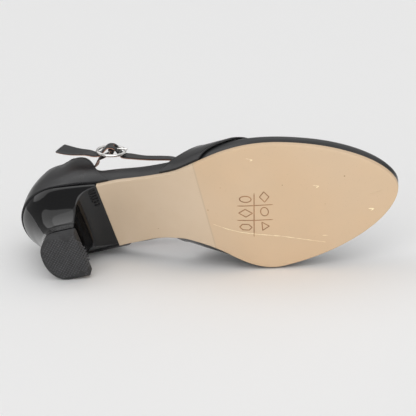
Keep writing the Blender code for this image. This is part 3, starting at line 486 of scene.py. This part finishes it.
def lining_material(colours):
    """Undyed lining leather with a soft nap."""
    made, tree, shader = new_material("lining_leather", tuple(colours.lining), 0.75)
    place = place_node(tree)
    cloud = noise(tree, place, 220.0, 4.0)
    light = tuple(min(1.0, 1.30 * c) for c in colours.lining)
    tone = mix(tree, span(tree, cloud, 0.35, 0.65, 0.0, 1.0), tuple(colours.lining), light)
    tree.links.new(tone, shader.inputs["Base Color"])
    bump(tree, shader, noise(tree, place, 2400.0, 3.0), 0.25, 0.0002)
    shader.inputs["Sheen Weight"].default_value = 0.15
    return made


def sole_material(colours):
    """Natural sole leather: clouded tan, paler smooth waist, faint line, fine pores."""
    made, tree, shader = new_material("natural_sole_leather", tuple(colours.sole), 0.55)
    place = place_node(tree, "plan")
    parts = tree.nodes.new("ShaderNodeSeparateXYZ")
    tree.links.new(place, parts.inputs["Vector"])
    line_x = maths(tree, "ADD", parts.outputs["X"], maths(tree, "MULTIPLY", parts.outputs["Y"], 0.072))
    cloud = noise(tree, place, 42.0, 4.0)
    patches = noise(tree, place, 14.0, 2.0)
    warm = tuple(min(1.0, c * f) for c, f in zip(colours.sole, (1.02, 0.965, 0.90)))
    pale = tuple(min(1.0, c * f) for c, f in zip(colours.sole, (1.035, 1.07, 1.13)))
    dull = tuple(min(1.0, c * f) for c, f in zip(colours.sole, (0.95, 0.93, 0.90)))
    waist = span(tree, line_x, 0.1180, 0.1195, 0.0, 1.0)
    tone = mix(tree, waist, pale, warm)
    tone = mix(tree, span(tree, cloud, 0.40, 0.75, 0.0, 0.55), tone, dull)
    tone = mix(tree, span(tree, patches, 0.35, 0.70, 0.0, 0.35), tone, pale)
    pores = tree.nodes.new("ShaderNodeTexVoronoi")
    pores.inputs["Scale"].default_value = 420.0
    tree.links.new(place, pores.inputs["Vector"])
    dots = span(tree, pores.outputs["Distance"], 0.06, 0.14, 0.22, 0.0)
    tone = mix(tree, dots, tone, tuple(0.6 * c for c in colours.sole))
    step = maths(tree, "ABSOLUTE", maths(tree, "SUBTRACT", line_x, 0.1188), 0.0)
    crease = span(tree, step, 0.0, 0.0007, 0.35, 0.0)
    tone = mix(tree, crease, tone, tuple(0.62 * c for c in colours.sole))
    tree.links.new(tone, shader.inputs["Base Color"])
    tree.links.new(span(tree, cloud, 0.3, 0.7, 0.46, 0.62), shader.inputs["Roughness"])
    fibre = maths(tree, "ADD", noise(tree, place, 900.0, 3.0),
                  maths(tree, "MULTIPLY", noise(tree, place, 90.0, 3.0), 1.5))
    bump(tree, shader, fibre, 0.12, 0.00018)
    shader.inputs["Coat Weight"].default_value = 0.10
    shader.inputs["Coat Roughness"].default_value = 0.35
    return made


def lacquer_material(colours):
    """High gloss black lacquer with a trace of waviness."""
    made, tree, shader = new_material("black_lacquer", tuple(colours.lacquer), 0.07)
    place = place_node(tree)
    bump(tree, shader, noise(tree, place, 70.0, 1.0), 0.03, 0.0004)
    tree.links.new(span(tree, noise(tree, place, 500.0, 3.0), 0.45, 0.75, 0.05, 0.10),
                   shader.inputs["Roughness"])
    return made


def rubber_material(colours):
    """Matt black rubber."""
    made, tree, shader = new_material("black_rubber", tuple(colours.rubber), 0.66)
    place = place_node(tree)
    cloud = noise(tree, place, 300.0, 3.0)
    tone = mix(tree, span(tree, cloud, 0.35, 0.7, 0.0, 1.0), tuple(colours.rubber),
               tuple(1.9 * c for c in colours.rubber))
    tree.links.new(tone, shader.inputs["Base Color"])
    bump(tree, shader, noise(tree, place, 1800.0, 3.0), 0.2, 0.0001)
    return made


def tread_painted_light_material(colours):
    """Faces of the rubber diamonds, painted lighter than the rubber between them: a painted highlight
    for their lit tops.
    """
    made, tree, shader = new_material("rubber_tread_painted_light", tuple(2.6 * c for c in colours.rubber), 0.5)
    cloud = noise(tree, place_node(tree), 500.0, 3.0)
    tone = mix(tree, span(tree, cloud, 0.35, 0.7, 0.0, 1.0), tuple(2.2 * c for c in colours.rubber),
               tuple(3.4 * c for c in colours.rubber))
    tree.links.new(tone, shader.inputs["Base Color"])
    return made


def metal_material(colours):
    """Polished metal with fine handling marks."""
    made, tree, shader = new_material("polished_metal", tuple(colours.metal), 0.28, 1.0)
    place = place_node(tree)
    tree.links.new(span(tree, noise(tree, place, 900.0, 3.0), 0.4, 0.7, 0.24, 0.34),
                   shader.inputs["Roughness"])
    bump(tree, shader, noise(tree, place, 300.0, 2.0), 0.05, 0.0001)
    return made


def mark_material(name, colour, roughness):
    """A stamped or scraped line, or a line of painted shade, uneven in tone along its length."""
    made, tree, shader = new_material(name, colour, roughness)
    place = place_node(tree)
    cloud = noise(tree, place, 260.0, 3.0)
    tone = mix(tree, span(tree, cloud, 0.35, 0.65, 0.0, 1.0), colour,
               tuple(min(1.0, 1.7 * c) for c in colour))
    tree.links.new(tone, shader.inputs["Base Color"])
    return made


def thread_material(colours):
    """Black sewing thread."""
    made, tree, shader = new_material("black_thread", tuple(4.0 * c for c in colours.leather), 0.55)
    twist = tree.nodes.new("ShaderNodeTexWave")
    twist.inputs["Scale"].default_value = 900.0
    tree.links.new(place_node(tree), twist.inputs["Vector"])
    bump(tree, shader, twist.outputs["Fac"], 0.3, 0.00008)
    return made


def finish_named(name):
    """A finish by its name, made when it is first asked for."""
    if name in bpy.data.materials:
        return bpy.data.materials[name]
    colours = bpy.context.scene.shoe_colours
    pale = tuple(min(1.0, 1.10 * c) for c in colours.sole)
    makers = {
        "satin_black_leather": lambda: leather_material(colours),
        "lining_leather": lambda: lining_material(colours),
        "natural_sole_leather": lambda: sole_material(colours),
        "black_lacquer": lambda: lacquer_material(colours),
        "black_rubber": lambda: rubber_material(colours),
        "polished_metal": lambda: metal_material(colours),
        "rubber_tread_painted_light": lambda: tread_painted_light_material(colours),
        "black_thread": lambda: thread_material(colours),
        "stamped_line": lambda: mark_material("stamped_line", tuple(colours.mark), 0.6),
        "scraped_line": lambda: mark_material("scraped_line", pale, 0.7),
        "hole_shade": lambda: mark_material("hole_shade", (0.006, 0.005, 0.005), 0.9),
    }
    return makers[name]()


def stitch_tree():
    """Node tree that lays stitches of thread along the edges of a path."""
    tree = bpy.data.node_groups.new("stitch_row", "GeometryNodeTree")
    face = tree.interface
    face.new_socket("Geometry", in_out="INPUT", socket_type="NodeSocketGeometry")
    for name in ("Pitch", "Length", "Width"):
        face.new_socket(name, in_out="INPUT", socket_type="NodeSocketFloat")
    face.new_socket("Thread", in_out="INPUT", socket_type="NodeSocketMaterial")
    face.new_socket("Geometry", in_out="OUTPUT", socket_type="NodeSocketGeometry")
    nodes = tree.nodes
    links = tree.links
    start = nodes.new("NodeGroupInput")
    end = nodes.new("NodeGroupOutput")
    curve = nodes.new("GeometryNodeMeshToCurve")
    spaced = nodes.new("GeometryNodeResampleCurve")
    spaced.mode = "LENGTH"
    tangent = nodes.new("GeometryNodeInputTangent")
    out = nodes.new("GeometryNodeInputNamedAttribute")
    out.data_type = "FLOAT_VECTOR"
    out.inputs["Name"].default_value = "out"
    along = nodes.new("FunctionNodeAlignRotationToVector")
    along.axis = "X"
    upright = nodes.new("FunctionNodeAlignRotationToVector")
    upright.axis = "Z"
    upright.pivot_axis = "X"
    ball = nodes.new("GeometryNodeMeshUVSphere")
    ball.inputs["Segments"].default_value = 8
    ball.inputs["Rings"].default_value = 5
    ball.inputs["Radius"].default_value = 0.5
    size = nodes.new("ShaderNodeCombineXYZ")
    place = nodes.new("GeometryNodeInstanceOnPoints")
    real = nodes.new("GeometryNodeRealizeInstances")
    paint = nodes.new("GeometryNodeSetMaterial")
    links.new(start.outputs["Geometry"], curve.inputs["Mesh"])
    links.new(curve.outputs["Curve"], spaced.inputs["Curve"])
    links.new(start.outputs["Pitch"], spaced.inputs["Length"])
    links.new(tangent.outputs["Tangent"], along.inputs["Vector"])
    links.new(along.outputs["Rotation"], upright.inputs["Rotation"])
    links.new(out.outputs["Attribute"], upright.inputs["Vector"])
    links.new(start.outputs["Length"], size.inputs["X"])
    links.new(start.outputs["Width"], size.inputs["Y"])
    links.new(start.outputs["Width"], size.inputs["Z"])
    links.new(spaced.outputs["Curve"], place.inputs["Points"])
    links.new(ball.outputs["Mesh"], place.inputs["Instance"])
    links.new(upright.outputs["Rotation"], place.inputs["Rotation"])
    links.new(size.outputs["Vector"], place.inputs["Scale"])
    links.new(place.outputs["Instances"], real.inputs["Geometry"])
    links.new(real.outputs["Geometry"], paint.inputs["Geometry"])
    links.new(start.outputs["Thread"], paint.inputs["Material"])
    links.new(paint.outputs["Geometry"], end.inputs["Geometry"])
    return tree


def tread_tree():
    """Node tree that sets a low diamond on every point of a mesh."""
    tree = bpy.data.node_groups.new("diamond_tread", "GeometryNodeTree")
    face = tree.interface
    face.new_socket("Geometry", in_out="INPUT", socket_type="NodeSocketGeometry")
    for name in ("Width", "Height"):
        face.new_socket(name, in_out="INPUT", socket_type="NodeSocketFloat")
    face.new_socket("Rubber", in_out="INPUT", socket_type="NodeSocketMaterial")
    face.new_socket("Geometry", in_out="OUTPUT", socket_type="NodeSocketGeometry")
    nodes = tree.nodes
    links = tree.links
    start = nodes.new("NodeGroupInput")
    end = nodes.new("NodeGroupOutput")
    points = nodes.new("GeometryNodeMeshToPoints")
    out = nodes.new("GeometryNodeInputNamedAttribute")
    out.data_type = "FLOAT_VECTOR"
    out.inputs["Name"].default_value = "out"
    ahead = nodes.new("GeometryNodeInputNamedAttribute")
    ahead.data_type = "FLOAT_VECTOR"
    ahead.inputs["Name"].default_value = "ahead"
    along = nodes.new("FunctionNodeAlignRotationToVector")
    along.axis = "X"
    upright = nodes.new("FunctionNodeAlignRotationToVector")
    upright.axis = "Z"
    upright.pivot_axis = "X"
    cone = nodes.new("GeometryNodeMeshCone")
    cone.inputs["Vertices"].default_value = 4
    cone.inputs["Radius Top"].default_value = 0.28
    cone.inputs["Radius Bottom"].default_value = 0.5
    cone.inputs["Depth"].default_value = 1.0
    size = nodes.new("ShaderNodeCombineXYZ")
    place = nodes.new("GeometryNodeInstanceOnPoints")
    real = nodes.new("GeometryNodeRealizeInstances")
    paint = nodes.new("GeometryNodeSetMaterial")
    links.new(start.outputs["Geometry"], points.inputs["Mesh"])
    links.new(ahead.outputs["Attribute"], along.inputs["Vector"])
    links.new(along.outputs["Rotation"], upright.inputs["Rotation"])
    links.new(out.outputs["Attribute"], upright.inputs["Vector"])
    links.new(start.outputs["Width"], size.inputs["X"])
    links.new(start.outputs["Width"], size.inputs["Y"])
    links.new(start.outputs["Height"], size.inputs["Z"])
    links.new(points.outputs["Points"], place.inputs["Points"])
    links.new(cone.outputs["Mesh"], place.inputs["Instance"])
    links.new(upright.outputs["Rotation"], place.inputs["Rotation"])
    links.new(size.outputs["Vector"], place.inputs["Scale"])
    links.new(place.outputs["Instances"], real.inputs["Geometry"])
    links.new(real.outputs["Geometry"], paint.inputs["Geometry"])
    links.new(start.outputs["Rubber"], paint.inputs["Material"])
    links.new(paint.outputs["Geometry"], end.inputs["Geometry"])
    return tree


def grown(name, data, tree, values):
    """The result of a node tree on a mesh, as a plain mesh object."""
    piece = link(bpy.data.objects.new(name + "_path", data))
    grow = piece.modifiers.new("grow", "NODES")
    grow.node_group = tree
    for item in tree.interface.items_tree:
        if item.item_type == "SOCKET" and item.in_out == "INPUT" and item.name in values:
            grow[item.identifier] = values[item.name]
    return frozen(piece, name)


def path_mesh(name, lines):
    """A mesh of edges along lines of points, each with its outward direction."""
    places = []
    ways = []
    edges = []
    for points, directions in lines:
        start = len(places)
        places += points
        ways += directions
        edges += [(start + i, start + i + 1) for i in range(len(points) - 1)]
    data = bpy.data.meshes.new(name)
    data.from_pydata(places, edges, [])
    layer = data.attributes.new("out", "FLOAT_VECTOR", "POINT")
    for i, way in enumerate(ways):
        layer.data[i].vector = way
    return data


def seam_lines(node, core, inset, lift, keep):
    """Lines beside the outer edges of a wall, cut where they are not kept."""
    mesh = node_bmesh(node)
    outer = set()
    for face in mesh.faces:
        centre = face.calc_center_median()
        if face.normal.dot((centre - core(centre)).normalized()) > 0.45:
            outer.add(face.index)
    following = {}
    inward = {}
    normals = {}
    for edge in mesh.edges:
        sides = [face for face in edge.link_faces if face.index in outer]
        if len(edge.link_faces) != 2 or len(sides) != 1:
            continue
        if edge.calc_face_angle(0.0) < math.radians(45.0):
            continue
        a, b = edge.verts
        way = sides[0].normal.cross(b.co - a.co).normalized()
        middle = (a.co + b.co) * 0.5
        if way.dot(sides[0].calc_center_median() - middle) < 0.0:
            way = -way
        for vertex, other in ((a, b), (b, a)):
            following.setdefault(vertex.index, []).append(other.index)
            inward.setdefault(vertex.index, Vector((0.0, 0.0, 0.0)))
            inward[vertex.index] += way
            normals.setdefault(vertex.index, Vector((0.0, 0.0, 0.0)))
            normals[vertex.index] += sides[0].normal
    used = set()
    lines = []
    for first in sorted(following):
        if first in used:
            continue
        chain = [first]
        used.add(first)
        while True:
            ahead = [i for i in following[chain[-1]] if i not in used]
            if not ahead:
                break
            chain.append(ahead[0])
            used.add(ahead[0])
        if len(chain) < 4:
            continue
        if chain[0] in following[chain[-1]]:
            chain.append(chain[0])
        points = []
        directions = []
        for i in chain:
            normal = normals[i].normalized()
            spot = mesh.verts[i].co + inward[i].normalized() * inset + normal * lift
            if keep(TO_STANDING @ spot):
                points.append(spot)
                directions.append(normal)
            elif len(points) > 3:
                lines.append((points, directions))
                points = []
                directions = []
            else:
                points = []
                directions = []
        if len(points) > 3:
            lines.append((points, directions))
    mesh.free()
    return lines


def on_surface(lines, piece, lift):
    """The lines laid close on a dressed piece, with a point every half millimetre or so."""
    tree = BVHTree.FromObject(piece, bpy.context.evaluated_depsgraph_get())
    laid = []
    for points, directions in lines:
        places = []
        ways = []
        for i in range(len(points) - 1):
            count = max(1, round((points[i + 1] - points[i]).length / (0.6 * MM)))
            for j in range(count):
                share = j / count
                way = directions[i].lerp(directions[i + 1], share).normalized()
                spot = points[i].lerp(points[i + 1], share)
                hit = tree.ray_cast(spot + way * 2.0 * MM, -way, 4.0 * MM)
                if hit[0] is not None and hit[1].dot(way) > 0.5:
                    places.append(hit[0] + hit[1] * lift)
                    ways.append(hit[1])
        if len(places) > 3:
            laid.append((places, ways))
    return laid


def sole_surface():
    """The sole's lower face as a tree, in the standing shoe."""
    mesh = node_bmesh("outsole")
    corners = [TO_STANDING @ vertex.co for vertex in mesh.verts]
    polygons = [tuple(vertex.index for vertex in face.verts) for face in mesh.faces]
    mesh.free()
    return BVHTree.FromPolygons(corners, polygons)


def add_ribbon(mesh, tree, points, width, closed=False, lift=0.05 * MM):
    """A thin flat line on the sole through points in plan, in metres."""
    count = len(points)
    rows = []
    for i, point in enumerate(points):
        before = points[(i - 1) % count] if closed else points[max(i - 1, 0)]
        after = points[(i + 1) % count] if closed else points[min(i + 1, count - 1)]
        run = (after - before).normalized()
        side = Vector((-run.y, run.x))
        taper = 1.0 if closed or 0 < i < count - 1 else 0.35
        row = []
        for way in (-0.5, 0.5):
            flat = point + side * (width * way * taper)
            hit = tree.ray_cast(Vector((flat.x, flat.y, -0.05)), Vector((0.0, 0.0, 1.0)))
            if hit[0] is None:
                return
            row.append(mesh.verts.new(STANDING @ (hit[0] - Vector((0.0, 0.0, lift)))))
        rows.append(row)
    if closed:
        rows.append(rows[0])
    for low, high in zip(rows, rows[1:]):
        mesh.faces.new((low[0], low[1], high[1], high[0]))


def line_points(corners, spacing=1.5 * MM):
    """Points along a line of corners given in millimetres."""
    points = []
    for start, end in zip(corners, corners[1:]):
        a = Vector(start) * MM
        b = Vector(end) * MM
        steps = max(1, round((b - a).length / spacing))
        points += [a.lerp(b, i / steps) for i in range(steps)]
    points.append(Vector(corners[-1]) * MM)
    return points


def motif_points(x, y, sides, long, wide):
    """Outline of a plain generic mark, a ring or a polygon, its sides cut into short steps."""
    turn = math.radians(GRID_ANGLE)
    corners = []
    for i in range(sides):
        angle = 2.0 * math.pi * i / sides
        px = long * math.cos(angle)
        py = wide * math.sin(angle)
        corners.append(Vector((x + px * math.cos(turn) - py * math.sin(turn),
                               y + px * math.sin(turn) + py * math.cos(turn))) * MM)
    steps = max(1, 24 // sides)
    points = []
    for i, corner in enumerate(corners):
        following = corners[(i + 1) % sides]
        points += [corner.lerp(following, j / steps) for j in range(steps)]
    return points


class SHOE_OT_sole(bpy.types.Operator):
    """Make the outsole with its stamped marks and scratches"""
    bl_idname = "shoe.sole"
    bl_label = "Sole"

    def execute(self, context):
        sizes = context.scene.shoe_sizes
        piece = dressed_copy("sole_leather", "outsole", 2, 32.0, 0.0)
        store_plan(piece)
        settle(piece, [finish_named("natural_sole_leather")], "outsole")
        surface = sole_surface()
        stamps = bmesh.new()
        for corners in GRID_LINES:
            add_ribbon(stamps, surface, line_points(corners), sizes.mark_width)
        for x, y, sides, long, wide in GRID_CELLS:
            outline = motif_points(x, y, sides, long, wide)
            add_ribbon(stamps, surface, outline, 1.1 * sizes.mark_width, True)
        self.lay(stamps, "stamped_marks", "stamped_line")
        scrapes = bmesh.new()
        for corners in SCRATCHES:
            width = 0.6 * MM if len(corners) < 4 else 0.36 * MM
            add_ribbon(scrapes, surface, line_points(corners, 0.8 * MM), width)
        self.lay(scrapes, "sole_scratches", "scraped_line")
        specks = bmesh.new()
        for i, (x, y) in enumerate(SPECKS):
            reach = (0.14 + 0.06 * (i % 3)) * MM
            ring = [Vector((x, y)) * MM + Vector((math.cos(a), math.sin(a))) * reach
                    for a in [2.0 * math.pi * j / 10 for j in range(10)]]
            add_ribbon(specks, surface, ring, 0.9 * reach, True)
        self.lay(specks, "sole_specks", "stamped_line")
        return {"FINISHED"}

    def lay(self, mesh, name, finish):
        """Turn thin lines into a piece that faces away from the sole."""
        bmesh.ops.recalc_face_normals(mesh, faces=mesh.faces)
        down = STANDING.to_3x3() @ Vector((0.0, 0.0, -1.0))
        for face in mesh.faces:
            if face.normal.dot(down) < 0.0:
                face.normal_flip()
        data = bpy.data.meshes.new(name)
        mesh.to_mesh(data)
        mesh.free()
        settle(link(bpy.data.objects.new(name, data)), [finish_named(finish)])


class SHOE_OT_heel(bpy.types.Operator):
    """Make the lacquered heel and its rubber lift with diamond tread"""
    bl_idname = "shoe.heel"
    bl_label = "Heel and lift"

    def execute(self, context):
        sizes = context.scene.shoe_sizes
        heel = dressed_copy("heel_lacquer", "heel", 2, 38.0, 0.45 * MM)
        settle(heel, [finish_named("black_lacquer")], "heel")
        lift = dressed_copy("lift_rubber", "top_lift", 2, 38.0, 0.30 * MM)
        settle(lift, [finish_named("black_rubber")], "top_lift")
        places = self.tread_places(sizes.tread_pitch)
        data = bpy.data.meshes.new("tread_places")
        data.from_pydata(places, [], [])
        down = STANDING.to_3x3() @ Vector((0.0, 0.0, -1.0))
        ahead = STANDING.to_3x3() @ Vector((1.0, 0.0, 0.0))
        for name, way in (("out", down), ("ahead", ahead)):
            layer = data.attributes.new(name, "FLOAT_VECTOR", "POINT")
            for item in layer.data:
                item.vector = way
        # The diamonds' finish is painted lighter than the lift, a painted highlight on their tops.
        values = {"Width": 1.02 * sizes.tread_pitch, "Height": sizes.tread_height,
                  "Rubber": finish_named("rubber_tread_painted_light")}
        tread = grown("lift_tread", data, tread_tree(), values)
        settle(tread, [finish_named("rubber_tread_painted_light")])
        return {"FINISHED"}

    def tread_places(self, pitch):
        """Points of a diamond grid inside the lift's edge, just under its flat face."""
        mesh = node_bmesh("top_lift")
        corners = [TO_STANDING @ vertex.co for vertex in mesh.verts]
        mesh.free()
        flat = [point for point in corners if point.z < 0.1 * MM]
        centre = sum(flat, Vector((0.0, 0.0, 0.0))) / len(flat)
        reach = {}
        for point in flat:
            angle = math.atan2(point.y - centre.y, point.x - centre.x)
            reach[angle] = (point - centre).length
        angles = sorted(reach)
        places = []
        count = int(0.04 / pitch)
        for i in range(-count, count + 1):
            for j in range(-count, count + 1):
                x = (i + j) * pitch * DIAGONAL
                y = (i - j) * pitch * DIAGONAL
                angle = math.atan2(y, x)
                above = next((a for a in angles if a >= angle), angles[0])
                below = next((a for a in reversed(angles) if a <= angle), angles[-1])
                edge = min(reach[above], reach[below])
                if math.hypot(x, y) < edge - 1.1 * MM:
                    places.append(STANDING @ Vector((centre.x + x, centre.y + y, 0.05 * MM)))
        return places


def creased(node):
    """Shape of a node's leather with its listed creases pressed in or raised."""
    lines = [entry for entry in CREASES if entry[0] == node]

    def shape(point, normal):
        inside = TO_STANDING @ point
        for _, corners, width, depth in lines:
            for start, end in zip(corners, corners[1:]):
                a = Vector(start) * MM
                b = Vector(end) * MM
                run = b - a
                share = min(max((inside - a).dot(run) / run.length_squared, 0.0), 1.0)
                away = (inside - (a + run * share)).length
                fade = min(1.0, 4.0 * min(share, 1.0 - share) + 0.25)
                point = point + normal * (depth * MM * fade * math.exp(-(away / (width * MM)) ** 2))
        return point

    return shape


class SHOE_OT_leather(bpy.types.Operator):
    """Make the upper, the counter and the two crossed bands"""
    bl_idname = "shoe.leather"
    bl_label = "Upper leather"

    def execute(self, context):
        sizes = context.scene.shoe_sizes
        finishes = [finish_named("satin_black_leather"), finish_named("lining_leather")]
        for node in LEATHER_NODES:
            piece = dressed_copy(node + "_leather", node, 2, 45.0, sizes.edge_round, creased(node))
            if node == "upper":
                mark_lining(piece, core_of, 0.35 * MM)
            settle(piece, finishes, node)
        return {"FINISHED"}


class SHOE_OT_insole(bpy.types.Operator):
    """Make the insole"""
    bl_idname = "shoe.insole"
    bl_label = "Insole"

    def execute(self, context):
        piece = dressed_copy("insole_lining", "insole", 2, 45.0, 0.25 * MM)
        settle(piece, [finish_named("lining_leather")], "insole")
        return {"FINISHED"}


class SHOE_OT_straps(bpy.types.Operator):
    """Make the two ankle straps with their lining"""
    bl_idname = "shoe.straps"
    bl_label = "Ankle straps"

    def execute(self, context):
        finishes = [finish_named("satin_black_leather"), finish_named("lining_leather")]
        for node, depth in (("strap_front", 0.50 * MM), ("strap_back", 0.12 * MM)):
            piece = dressed_copy(node + "_leather", node, 2, 50.0, 0.18 * MM)
            mark_lining(piece, ankle_core, depth)
            settle(piece, finishes, node)
        return {"FINISHED"}


class SHOE_OT_buckle(bpy.types.Operator):
    """Make the polished buckle and its prong"""
    bl_idname = "shoe.buckle"
    bl_label = "Buckle"

    def execute(self, context):
        for node, name in (("buckle", "buckle_ring"), ("buckle_prong", "buckle_pin")):
            piece = dressed_copy(name, node, 2, 75.0, 0.0)
            settle(piece, [finish_named("polished_metal")], node)
        return {"FINISHED"}


class SHOE_OT_stitches(bpy.types.Operator):
    """Sew the edges of the bands and the counter"""
    bl_idname = "shoe.stitches"
    bl_label = "Stitches"

    def execute(self, context):
        sizes = context.scene.shoe_sizes
        tree = stitch_tree()
        values = {"Pitch": sizes.stitch_pitch, "Length": sizes.stitch_length,
                  "Width": sizes.thread_width, "Thread": finish_named("black_thread")}
        rows = (
            ("band_lateral", core_of, sizes.edge_inset, self.on_band),
            ("band_medial", core_of, sizes.edge_inset, self.on_band),
            ("counter", core_of, sizes.edge_inset, self.on_counter),
        )
        # Each seam also gets a dark continuous cord under its stitches, painted shade that stands in
        # for the shadow in the seam's groove.
        groove_shade = {"Pitch": 0.5 * sizes.stitch_pitch, "Length": 1.1 * sizes.stitch_pitch,
                  "Width": 0.20 * MM, "Thread": finish_named("hole_shade")}
        for node, core, inset, keep in rows:
            lines = seam_lines(node, core, inset, 0.04 * MM, keep)
            if not lines:
                raise RuntimeError("no seam line was found on " + node)
            lines = on_surface(lines, bpy.data.objects[node + "_leather"], 0.05 * MM)
            name = node + "_stitches"
            piece = grown(name, path_mesh(name, lines), tree, values)
            settle(piece, [finish_named("black_thread")])
            name = node + "_seam_painted_shade"
            piece = grown(name, path_mesh(name, lines), tree, groove_shade)
            settle(piece, [finish_named("hole_shade")])
        return {"FINISHED"}

    def on_band(self, place):
        """Keep a band's seams clear of the sole."""
        return place.z > self.floor_height(place.x) + 7.0 * MM

    def on_counter(self, place):
        """Keep the counter's seams clear of the heel."""
        return place.z > self.floor_height(place.x) + 7.5 * MM

    def floor_height(self, x):
        """Height of the bottom of the sole at a place along the standing shoe."""
        rows = ((0.000, 0.041), (0.028, 0.038), (0.052, 0.0345), (0.080, 0.022), (0.100, 0.012),
                (0.120, 0.0045), (0.148, 0.0), (0.180, 0.0), (0.230, 0.008))
        for (low_x, low_z), (high_x, high_z) in zip(rows, rows[1:]):
            if low_x <= x <= high_x:
                return low_z + (high_z - low_z) * (x - low_x) / (high_x - low_x)
        return rows[0][1] if x < 0.0 else rows[-1][1]


class SHOE_OT_stage(bpy.types.Operator):
    """Set up the floor, the lights and the camera"""
    bl_idname = "shoe.stage"
    bl_label = "Stage"

    def execute(self, context):
        scene = context.scene
        studio = scene.shoe_studio
        colours = scene.shoe_colours
        scene.view_settings.view_transform = "Standard"
        scene.view_settings.look = "None"
        floor_data = bpy.data.meshes.new("studio_floor")
        floor_data.from_pydata([(-6, -4, 0), (6, -4, 0), (6, 10, 0), (-6, 10, 0)], [], [(0, 1, 2, 3)])
        floor = link(bpy.data.objects.new("studio_floor", floor_data))
        made, tree, shader = new_material("studio_floor", tuple(colours.floor), 0.6)
        shader.inputs["Specular IOR Level"].default_value = 0.2
        floor_data.materials.append(made)
        world = bpy.data.worlds.new("studio_room")
        scene.world = world
        world.use_nodes = True
        room = world.node_tree.nodes["Background"]
        room.inputs["Color"].default_value = (1.0, 0.995, 0.99, 1.0)
        room.inputs["Strength"].default_value = studio.sky_strength
        lights = (
            ("key_light", 160.0, 45.0, 50.0, studio.key_power),
            ("front_light", -75.0, 24.0, 84.0, studio.front_power),
            ("fill_light", 60.0, 65.0, 90.0, studio.fill_power),
        )
        for name, around, height, spread, power in lights:
            lamp = bpy.data.lights.new(name, "SUN")
            lamp.angle = math.radians(spread)
            lamp.energy = power
            holder = link(bpy.data.objects.new(name, lamp))
            turn = math.radians(around)
            rise = math.radians(height)
            way = Vector((math.cos(turn) * math.cos(rise), math.sin(turn) * math.cos(rise),
                          math.sin(rise)))
            holder.location = way * 2.0
            holder.rotation_euler = way.to_track_quat("Z", "Y").to_euler()
        self.add_camera(scene, studio)
        return {"FINISHED"}

    def add_camera(self, scene, studio):
        """Camera at the photograph's angle to the shoe."""
        right = Vector(CAMERA_RIGHT).normalized()
        up = Vector(CAMERA_UP)
        up = (up - right * up.dot(right)).normalized()
        back = right.cross(up)
        pose = Matrix((right, up, back)).transposed().to_4x4()
        pose.translation = Vector(CAMERA_PLACE)
        data = bpy.data.cameras.new("studio_camera")
        data.sensor_width = 36.0
        data.sensor_fit = "HORIZONTAL"
        data.lens = studio.lens
        data.clip_start = 0.05
        data.clip_end = 60.0
        camera = link(bpy.data.objects.new("studio_camera", data))
        camera.matrix_world = STANDING @ pose
        scene.camera = camera


class SHOE_PT_panel(bpy.types.Panel):
    """Sizes, colours and steps of the dance shoe"""
    bl_idname = "SHOE_PT_panel"
    bl_label = "Dance shoe"
    bl_space_type = "VIEW_3D"
    bl_region_type = "UI"
    bl_category = "Dance shoe"

    def draw(self, context):
        layout = self.layout
        scene = context.scene
        for group in (scene.shoe_sizes, scene.shoe_colours, scene.shoe_studio):
            box = layout.box()
            for name in group.bl_rna.properties.keys():
                if name not in {"rna_type", "name"}:
                    box.prop(group, name)
        for step in STEPS:
            layout.operator(step.bl_idname)


STEPS = (
    SHOE_OT_sole,
    SHOE_OT_heel,
    SHOE_OT_leather,
    SHOE_OT_insole,
    SHOE_OT_straps,
    SHOE_OT_buckle,
    SHOE_OT_stitches,
    SHOE_OT_stage,
)
GROUPS = (ShoeSizes, ShoeColours, ShoeStudio)


def register():
    """Register the classes and hang the settings on the scene."""
    for item in GROUPS + STEPS + (SHOE_PT_panel,):
        bpy.utils.register_class(item)
    bpy.types.Scene.shoe_sizes = bpy.props.PointerProperty(type=ShoeSizes)
    bpy.types.Scene.shoe_colours = bpy.props.PointerProperty(type=ShoeColours)
    bpy.types.Scene.shoe_studio = bpy.props.PointerProperty(type=ShoeStudio)


def unregister():
    """Take the settings and the classes away again."""
    del bpy.types.Scene.shoe_sizes
    del bpy.types.Scene.shoe_colours
    del bpy.types.Scene.shoe_studio
    for item in reversed(GROUPS + STEPS + (SHOE_PT_panel,)):
        bpy.utils.unregister_class(item)


def main():
    """Make every piece in order."""
    register()
    bpy.ops.shoe.sole()
    bpy.ops.shoe.heel()
    bpy.ops.shoe.leather()
    bpy.ops.shoe.insole()
    bpy.ops.shoe.straps()
    bpy.ops.shoe.buckle()
    bpy.ops.shoe.stitches()
    bpy.ops.shoe.stage()


if __name__ == "__main__":
    main()
